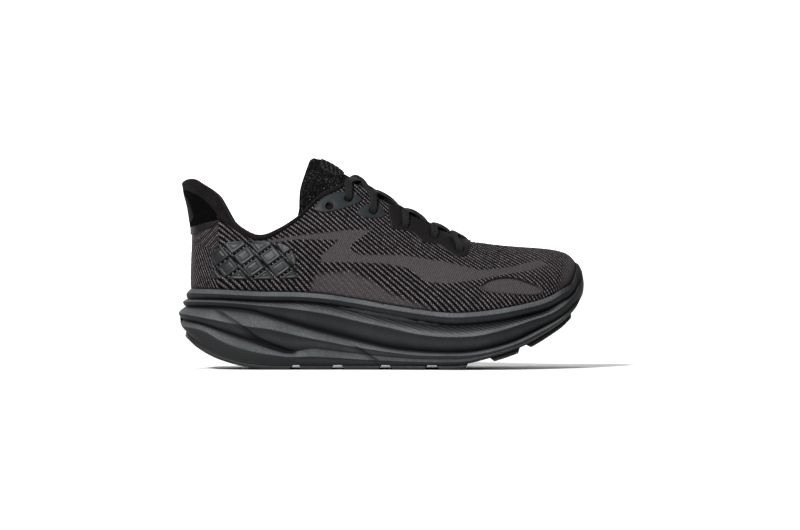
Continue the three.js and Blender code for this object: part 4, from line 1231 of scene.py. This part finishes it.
def tongue_point(along, across_share, below):
    """A point of the tongue: share along it, -1 to 1 across it, distance below its top face."""
    along, across_share, below = np.broadcast_arrays(
        np.asarray(along, float), np.asarray(across_share, float), np.asarray(below, float))
    # The free end's corners are drawn back a little.
    at_corner = smoothstep(np.abs(across_share), 0.72, 1.12)
    along = along - 0.022 * smoothstep(along, 0.7, 1) * at_corner
    below = below - 2.0 * smoothstep(along, 0.78, 1)  # the end of the free top turns up a little
    a = np.clip(along, 0.01, 0.99)
    ahead, back = a + 0.01, a - 0.01
    slope = unit(np.stack([tongue_x(ahead) - tongue_x(back), tongue_z(ahead) - tongue_z(back)], -1))
    lean = lerp(1, 0.92, smoothstep(along, 0.6, 1))
    down = unit(np.stack([-slope[..., 1] * lean, slope[..., 0]], -1))
    angle = across_share * TONGUE_ARC
    width = tongue_width(along) - below
    drop = tongue_drop(along) * (1 - np.cos(angle)) + below * np.cos(angle)
    x = tongue_x(along) + down[..., 0] * drop
    z = tongue_z(along) + down[..., 1] * drop
    return np.stack([x, width * np.sin(angle), z], -1)


def make_tongue():
    """The padded tongue in one piece: its free top is thicker and edged with piping."""
    along = np.concatenate([
        np.linspace(0, 0.03, 5)[:-1],
        np.linspace(0.03, 0.95, 100)[:-1],
        0.95 + 0.05 * np.sin(np.linspace(0, math.pi / 2, 9)),
    ])[:, None]
    thick = lerp(5.9, 9.4, smoothstep(along, 0.69, 0.80))
    from_end = np.clip((1 - along) / 0.05, 0, 1)
    closing = np.sqrt(np.clip(1 - (1 - from_end) ** 2, 0.01, 1)) * smoothstep(along, -0.02, 0.03)
    across_share = np.linspace(-TONGUE_SIDE, TONGUE_SIDE, 31)[None, :]
    off_ridge = np.abs(across_share)
    thinner = 0.45 * smoothstep(along, 0.62, 0.8)  # how much thinner the free top's sides are
    edge_half = thick * (1 - thinner) / 2
    half = thick * (1 - thinner * across_share**2) / 2
    border = np.minimum((1 - off_ridge) * 26, (1 - along) * 150)
    piping = 0.7 * bell(border, 2.2, 1.4) - 0.8 * bell(border, TONGUE_SEAM, 0.8)
    relief = piping * smoothstep(along, 0.66, 0.76) * closing
    crown = 5.3 * (1 - smoothstep(off_ridge, 0.22, 0.54))
    crown = crown * (1 - smoothstep(along, 0.68, 0.84)) * smoothstep(along, -0.06, 0.06)
    # A bump behind the lace's first bar keeps the throat filled there.
    crown = crown + 2.8 * bell(along, 0.2, 0.06) * (1 - smoothstep(off_ridge, 0.3, 0.6))
    wrap = lerp(1, 1.13, smoothstep(along, 0.5, 0.8))  # the free top reaches further down
    turn = np.linspace(0, math.pi, 7)[1:-1][None, :]
    side = TONGUE_SIDE + 0.045 * np.sin(turn)
    rolled = edge_half * closing * np.cos(turn)
    sections = np.concatenate([
        tongue_point(along, across_share * wrap, half - half * closing - relief - crown),
        tongue_point(along, side * wrap, edge_half - rolled),
        tongue_point(along, across_share[:, ::-1] * wrap, half + half * closing),
        tongue_point(along, -side * wrap, edge_half + rolled),
    ], axis=1)
    made = pad_mesh("tongue_pad", sections, LOOKS["tongue_fabric"])
    # The seam and the quilting's channels are held; the underside and the sides swell freely.
    columns = border.shape[1]
    around = sections.shape[1]
    on_top = np.arange(around)[None, :] < columns
    from_border = np.full((len(along), around), np.inf)
    from_border[:, :columns] = border
    seam = (np.abs(from_border - TONGUE_SEAM) < 1.2) & (along > 0.66)
    channel = on_top & (np.abs((along * 15) % 1 - 0.5) > 0.44) & (along < 0.66)
    held = np.where(seam | channel, 1.0, 0.0)
    puff(made, np.concatenate([held.ravel(), [1, 1]]), 4.0, 0.9)
    smooth_finer(made, 1)
    keep(made, None, "tongue_fabric", "tongue_base_cover", "tongue_base_foam", "tongue_base_lining",
         "tongue_top_cover", "tongue_top_foam", "tongue_top_lining")
    start, end = (
        Vector(((tongue_point(a, 0, 4) + SHIFT) * 0.001).tolist()) for a in TONGUE_BEND_SHARES)
    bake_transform(made)


LABEL_REACH = 0.42  # to each side across the tongue, as a share
LABEL_SPAN = (0.81, 0.945)  # along the tongue, as shares
LABEL_LENGTH, LABEL_WIDTH, LABEL_CORNER = 22.0, 30.0, 6.0


def make_label():
    """A soft print on the tongue: a rounded patch with raised waves and no lettering."""
    u, v = np.meshgrid(np.linspace(0, 1, 70), np.linspace(0, 1, 90), indexing="ij")
    along = lerp(LABEL_SPAN[0], LABEL_SPAN[1], u)
    across_share = lerp(-LABEL_REACH, LABEL_REACH, v)
    a, b = (u - 0.5) * LABEL_LENGTH, (v - 0.5) * LABEL_WIDTH
    past_a = np.maximum(np.abs(a) - LABEL_LENGTH / 2 + LABEL_CORNER, 0)
    past_b = np.maximum(np.abs(b) - LABEL_WIDTH / 2 + LABEL_CORNER, 0)
    outside = np.hypot(past_a, past_b) - LABEL_CORNER
    waves = smoothstep(ripple(a / 4.2 + 0.5 * np.sin(b / 3.2)), 0.25, 0.85)
    waves = waves * smoothstep(-outside, 1.2, 2.4)
    border_line = bell(outside, -1.0, 0.45)
    raised = np.clip(waves + border_line, 0, 1)
    quads = grid_quads(*u.shape)
    kept, used = kept_part(quads, outside.ravel()[quads].mean(1) < 0, u.size)
    outer = tongue_point(along, across_share, -0.45 - 0.35 * raised).reshape(-1, 3)[used]
    inner = tongue_point(along, across_share, 0.3 + 0 * u).reshape(-1, 3)[used]
    points, faces = thick_sheet(outer, inner, kept)
    layers = {"raised": both_faces(raised, used)}
    made = make_mesh("tongue_print", points, faces, LOOKS["tongue_label"], layers)
    keep(made, "tongue_top", "tongue_label", "tongue_label")


# ---------- bonded films ----------
FILM_EDGE, FILM_RISE = 0.15, 0.75  # how far a film stands out at its edge, and more inside it
FILM_SUNK = 0.5  # how far it goes into the knit
PRESSED_LINE = 1.6  # from a film's edge to the line pressed along it
# Outlines on the side of the shoe, as [x, z].
TOP_PATCH = [
    [-49, 117.5], [-43, 125], [-35, 129], [-27, 130], [-15, 126.5], [-15.5, 122], [-25, 118.5],
    [-35, 115.5], [-44, 115],
]
SECOND_PATCH = [
    [-17, 115.5], [-13, 119.5], [-6, 121.5], [1, 118.5], [3.5, 112.5], [-3, 110.5], [-13, 111.5],
]
EYESTAY = [
    [7, 121], [7, 106.5], [9, 103], [22, 100.5], [30, 93.5], [41, 91.5], [49, 86], [54, 83],
    [61, 82.5], [65, 87], [63, 104], [30, 120],
]
QUARTER_PATCH = [[-124, 71], [-118, 92], [-70, 92], [-60, 71], [-66, 66], [-118, 66]]
OVERLAY = [
    [72, 60], [80, 66], [96, 67.5], [112, 62.5], [119, 57.5], [112, 54.5], [96, 55], [80, 56.5],
]
TILE_WIDTH, TILE_HEIGHT = 19.0, 17.0
TILE_SLANT = 0.3
TILE_GAP = 0.95  # half of the gap between tiles
QUARTER_FOOT = 66.0  # the height that the tiles are laid out from


def make_film(name, node, side, outline, span, holes, relief, look, layers):
    """A film bonded on one side of the knit, with a side-view outline and a relief."""
    edge_line = smooth_outline(outline)
    columns = int((span[1] - span[0]) / 0.03)
    station = np.repeat(-side * np.linspace(*span, columns)[:, None], 170, 1)
    share = np.linspace(0.15, 1, 170)[None, :] * np.minimum(knit_share(station), 0.995)

    def outside(points):
        d = polygon_distance(edge_line, points[..., 0], points[..., 2])
        return np.maximum(d, inside_holes(points)) if holes else d

    quads, used = trimmed_grid(station, share, outside)
    s, t = station.ravel()[used], share.ravel()[used]
    p = face_point(s, t)
    edge = np.maximum(-outside(p), 0)
    out = FILM_EDGE + FILM_RISE * rounded(edge, 0.9) + relief(p, edge)
    outer = p + face_normal(s, t) * out[:, None]
    inner = p - face_normal(s, t) * FILM_SUNK
    points, faces = thick_sheet(outer, inner, quads)
    extra = {key: np.tile(value(p, edge) * np.ones(len(p)), 2) for key, value in layers.items()}
    made = make_mesh(name, points, faces, LOOKS[look], extra)
    keep(made, "shoe", "film", node)


# Reliefs in millimetres and layers, at points p that lie so far inside the film's edge.
def everywhere(amount):
    return lambda p, edge: amount + 0 * edge


def border_relief(p, edge):
    """A pressed line just inside the film's edge."""
    return -0.25 * bell(edge, PRESSED_LINE, 0.4)


def tile_place(p):
    """Where a point lies across and up the slanted tiles, in tile widths and heights."""
    up = p[:, 2] - QUARTER_FOOT
    return (p[:, 0] - TILE_SLANT * up) / TILE_WIDTH, up / TILE_HEIGHT


def tile_edge(p):
    """About how far inside its diamond tile a point lies."""
    a, b = tile_place(p)
    first = np.abs((a + b) % 1 - 0.5)
    second = np.abs((a - b) % 1 - 0.5)
    return (0.5 - np.maximum(first, second)) * TILE_WIDTH * 0.66 - TILE_GAP


def tile_relief(p, edge):
    """Raised tiles with an inner pressed line; between them the film sinks into the knit."""
    inside = np.minimum(tile_edge(p), edge - 0.4)
    body = smoothstep(inside, -0.1, 0.7)
    line = bell(inside, 2.1, 0.45)
    return 0.35 * body - 0.3 * line * body - 1.4 * (1 - smoothstep(inside, -0.5, 0.1))


def tile_accent(p, edge):
    """The tiles' rims get a painted highlight, and the middle of one tile in seven is lighter."""
    a, b = tile_place(p)
    inside = tile_edge(p)
    bright = (np.floor(a + b) * 3 + np.floor(a - b) * 5) % 7 < 0.5
    # Painted highlight on the tiles' rims.
    rim = bell(inside, 0.5, 0.5)
    return np.clip(0.5 * rim + 0.9 * bright * smoothstep(inside, 2.6, 3.2), 0, 1)


def almond_shade(p, edge):
    """The knit overlay's upper edge is shaded."""
    return np.clip(1.3 * bell(edge, 1.0, 0.9) * smoothstep(p[:, 2], 57, 63), 0, 1)


def make_films():
    """The films on both sides, with what each look's layers hold."""
    nothing = everywhere(0.0)
    plain = {"deep": nothing, "raised": nothing, "warm": nothing}
    patch = {**plain, "raised": everywhere(0.35)}
    stay = {
        **plain,
        "warm": everywhere(1.0),
        # Painted shade along the pressed line.
        "deep": lambda p, edge: 0.6 * bell(edge, PRESSED_LINE, 0.5),
    }
    tiles = {"raised": tile_accent}
    almond = {
        "plain": everywhere(1.0),
        "across": nothing,
        "along": nothing,
        "stitch": lambda p, edge: rib_phase(p[:, 0], p[:, 2]),
        "shade": almond_shade,
    }
    # Name, CAD node, outline, stations, whether holes are cut, relief, look and layers.
    films = [
        ("top_patch", "top_eyelet_patch", TOP_PATCH, (4, 8), True, border_relief, "film", patch),
        ("second_patch", "second_eyelet_patch", SECOND_PATCH, (6, 9), True, border_relief, "film",
         patch),
        ("eyestay", "eyestay_film", EYESTAY, (7, 13), True, border_relief, "film", stay),
        ("quarter_emblem", "quarter_patch", QUARTER_PATCH, (1, 6), False, tile_relief, "emblem",
         tiles),
        ("forefoot_almond", "forefoot_overlay", OVERLAY, (8, 13), False, nothing, "knit", almond),
    ]
    for label, side in SIDES.items():
        for name, node, *rest in films:
            make_film(f"{name}_{label}", f"{node}_{label}", side, *rest)
    make_seam_film()


def make_seam_film():
    """The film that covers the seam under the heel tab."""
    station = np.repeat(np.linspace(-2.3, 2.3, 130)[:, None], 12, 1)
    deep = 0.045 * (1 - smoothstep(np.abs(station), 1.7, 2.3)) + 0.004
    share = knit_share(station) - 0.001 - deep * np.linspace(1, 0, 12)[None, :]
    edge = np.minimum(share - share[:, :1], share[:, -1:] - share) * STRIP_LENGTH
    out = FILM_EDGE + FILM_RISE * rounded(edge, 0.8)
    outer = skin_point(station, share, out).reshape(-1, 3)
    inner = skin_point(station, share, -FILM_SUNK + 0 * share).reshape(-1, 3)
    points, faces = thick_sheet(outer, inner, grid_quads(*station.shape))
    nothing = np.zeros(len(points))
    layers = {"deep": nothing, "raised": nothing, "warm": nothing + 0.8}
    made = make_mesh("heel_seam", points, faces, LOOKS["film"], layers)
    keep(made, "shoe", "film", "heel_seam_film")


# ---------- lace ----------
LACE_WIDTH = 5.3
LACE_THICK = 1.7
BRAID_PITCH = 1.9
FILM_OUT = 1.3  # the outside of the CAD's eyestay film
CORE_HALF = 1.5 / 2  # half of the CAD lace's thickness
OVER = FILM_OUT + 2 * GAP + CORE_HALF  # centre of the lace over the eyestay
UNDER = -KNIT - GAP - CORE_HALF  # and under it
LACE_ALONG = np.array([0.84, 0, -0.54])  # the way the throat runs, which the lace's width keeps to
CROSS_RISE = 1.15  # how far the upper and lower lace stand off a crossing's middle


def through_hole(index, side):
    """The lace at one hole: over the eyestay's edge, down through the hole and back under it."""
    station, share = find_on_face(LACE_HOLES[index], side)
    stops = [  # share up the strip, distance out
        (0.985, OVER + 1), (lerp(share, 1, 0.45), OVER + 0.5), (share + 0.01, 2.2), (share, -2.9),
        (lerp(share, 1, 0.5), UNDER - 0.9), (0.99, UNDER - 0.5),
    ]
    return [skin_point(station, t, out) for t, out in stops]


def lace_half(first_side):
    """Half of the lace, from the first bar up to its end inside the shoe."""
    points, side = [], first_side
    for index in range(len(LACE_HOLES)):
        points += through_hole(index, side)
        if index < len(CROSSINGS):
            x, z = CROSSINGS[index]
            on_top = index % 2 == (0 if first_side == LATERAL else 1)
            points.append(np.array([x, 0, z + (CROSS_RISE if on_top else -CROSS_RISE)]))
            side = -side
    points = points[:-2]
    station, share = find_on_face(LACE_HOLES[-1], side)
    for down in (0.07, 0.16, 0.25):
        points.append(skin_point(station, share - down, UNDER - 1.4 - 8 * down))
    return points


def centripetal(points, steps):
    """A smooth open curve through points, with so many steps to a span."""
    p = np.array(points)
    p = np.concatenate([[2 * p[0] - p[1]], p, [2 * p[-1] - p[-2]]])
    gap = np.maximum(np.linalg.norm(np.diff(p, axis=0), axis=1) ** 0.5, 1e-4)[:, None]
    made = []
    for i in range(1, len(p) - 2):
        a, b, c, d = p[i - 1 : i + 3]
        g0, g1, g2 = gap[i - 1], gap[i], gap[i + 1]
        t1 = ((b - a) / g0 - (c - a) / (g0 + g1) + (c - b) / g1) * g1
        t2 = ((c - b) / g1 - (d - b) / (g1 + g2) + (d - c) / g2) * g1
        t = (np.arange(steps) / steps)[:, None]
        made.append(b + t1 * t + (-3 * b + 3 * c - 2 * t1 - t2) * t**2 + (2 * b - 2 * c + t1 + t2) * t**3)
    return np.concatenate([*made, p[-2:-1]])


def make_lace():
    """A flat woven lace in one length, laced over the eyestay and down through each hole."""
    halves = [lace_half(LATERAL), lace_half(MEDIAL)]
    bar = np.array([FIRST_BAR[0], 0, FIRST_BAR[1]])
    path = centripetal([*halves[1][::-1], bar, *halves[0]], 9)
    tangent = unit(np.gradient(path, axis=0))
    wide = unit(LACE_ALONG - tangent * (tangent @ LACE_ALONG)[:, None])
    thin = np.cross(tangent, wide)
    length = np.concatenate([[0], np.cumsum(np.linalg.norm(np.diff(path, axis=0), axis=1))])
    turn = np.linspace(0, 2 * math.pi, 20, endpoint=False)
    round_wide = np.sign(np.cos(turn)) * np.abs(np.cos(turn)) ** 0.7
    round_thin = np.sign(np.sin(turn)) * np.abs(np.sin(turn)) ** 0.8
    swell = 1 + 0.05 * np.sin(length / 7.0) + 0.04 * np.sin(length / 3.1)
    sections = (
        path[:, None]
        + wide[:, None] * (round_wide[None, :] * LACE_WIDTH / 2 * swell[:, None])[..., None]
        + thin[:, None] * (round_thin[None, :] * LACE_THICK / 2)[..., None]
    )
    layers = {
        "length": np.repeat(length[:, None] / BRAID_PITCH, len(turn), 1),
        "turn": np.repeat(np.abs(turn[None, :] - math.pi) / math.pi * 3, len(path), 0),
    }
    made = pad_mesh("lace_cord", sections, LOOKS["lace"], layers)
    keep(made, "shoe", "lace", "lace")


# ---------- insole ----------
# How far the insole's edge lies inside the foot of the upper, as [x, inset].
INSOLE_INSET = [[-140, 7.5], [-60, 7], [-30, 6.5], [80, 4.5], [110, 4.8], [145, 5]]
# Its rounded edge from the bottom up, as (step in, height over the footbed).
INSOLE_EDGE = [(0.5, 1.9), (0, 2.4), (0, 5.4), (0.3, 6.2), (1.0, 6.7), (2.2, 6.9)]


def over_footbed(height):
    """Moves points to a height over the footbed."""
    return lambda p: np.stack([p[..., 0], p[..., 1], footbed_height(p[..., 0]) + height], -1)


def make_insole():
    """The removable insole: a foam plate with rounded edges and a cloth top."""
    count = 360
    station = np.arange(count) / count * 2 * LAST
    foot = face_point(station, 0)
    out = face_normal(station, 0 * station)
    out[:, 2] = 0
    out = unit(out)
    inset = line_through(INSOLE_INSET)(foot[:, 0])
    rows = [
        over_footbed(height)(foot - out * (inset + step_in)[:, None])
        for step_in, height in INSOLE_EDGE
    ]
    ends = [over_footbed(INSOLE_EDGE[k][1]) for k in (0, -1)]
    points, quads = closed_stack(rows, 24, *ends)
    made = make_mesh("insole_pad", points, quads, LOOKS["insole_cloth"])
    keep(made, "insole", "insole_cloth", "insole_foam", "insole_cloth")


# ---------- camera, light and floor ----------
CAMERA_PLACE = (0.0138, -3.28, 0.0764)  # metres; it looks level, square to the outer side
CAMERA_LENS = 200
SKY_STRENGTH = 0.35
SUNS = [  # name, the side that it shines from, strength, softness in degrees
    ("front_light", (-0.32, -0.8, 0.5), 7.0, 6),
    ("top_light", (-0.25, -0.45, 1.0), 1.5, 25),
    ("back_light", (0.35, 1.0, 0.22), 2.6, 30),
]
STAGE_REACH, STAGE_HEIGHT = 30.0, 20.0  # metres


def make_stage():
    """The camera, the lights, and a floor with a backdrop far behind."""
    scene = bpy.context.scene
    camera = bpy.data.objects.new("camera", bpy.data.cameras.new("camera"))
    scene.collection.objects.link(camera)
    scene.view_settings.view_transform = "Standard"
    camera.data.lens = CAMERA_LENS
    camera.data.sensor_width = 36
    camera.location = CAMERA_PLACE
    camera.rotation_euler = (math.radians(90), 0, 0)
    scene.camera = camera

    world = bpy.data.worlds.new("studio")
    world.use_nodes = True
    sky = world.node_tree.nodes["Background"]
    sky.inputs["Color"].default_value = (1, 1, 1, 1)
    sky.inputs["Strength"].default_value = SKY_STRENGTH
    scene.world = world

    for name, place, strength, softness in SUNS:
        data = bpy.data.lights.new(name, "SUN")
        data.energy = strength
        data.angle = math.radians(softness)
        made = bpy.data.objects.new(name, data)
        made.rotation_euler = (-Vector(place)).to_track_quat("-Z", "Y").to_euler()
        scene.collection.objects.link(made)

    far, high = STAGE_REACH, STAGE_HEIGHT
    ground = [[-far, -far, 0], [far, -far, 0], [far, far, 0], [-far, far, 0]]
    wall = [[-far, far, 0], [far, far, 0], [far, far, high], [-far, far, high]]
    look = floor_look()
    for name, corners in (("floor", ground), ("backdrop", wall)):
        plane = make_mesh(name, np.array(corners) * 1000 - SHIFT, np.array([[0, 1, 2, 3]]), look)


def dress_nodes():
    """The CAD nodes that stay visible take the material of their slot."""
    slots = {part["node"]: part["material_slot"] for part in frame["record"]["subparts"]}
    for name, node in frame["nodes"].items():
        node.data.materials.clear()
        node.data.materials.append(LOOKS[slots[name]])


make_stage()
make_sole()
make_tread()
make_insole()
make_knit()
make_collar()
make_tab_panel()
make_tongue()
make_label()
make_films()
make_lace()
dress_nodes()
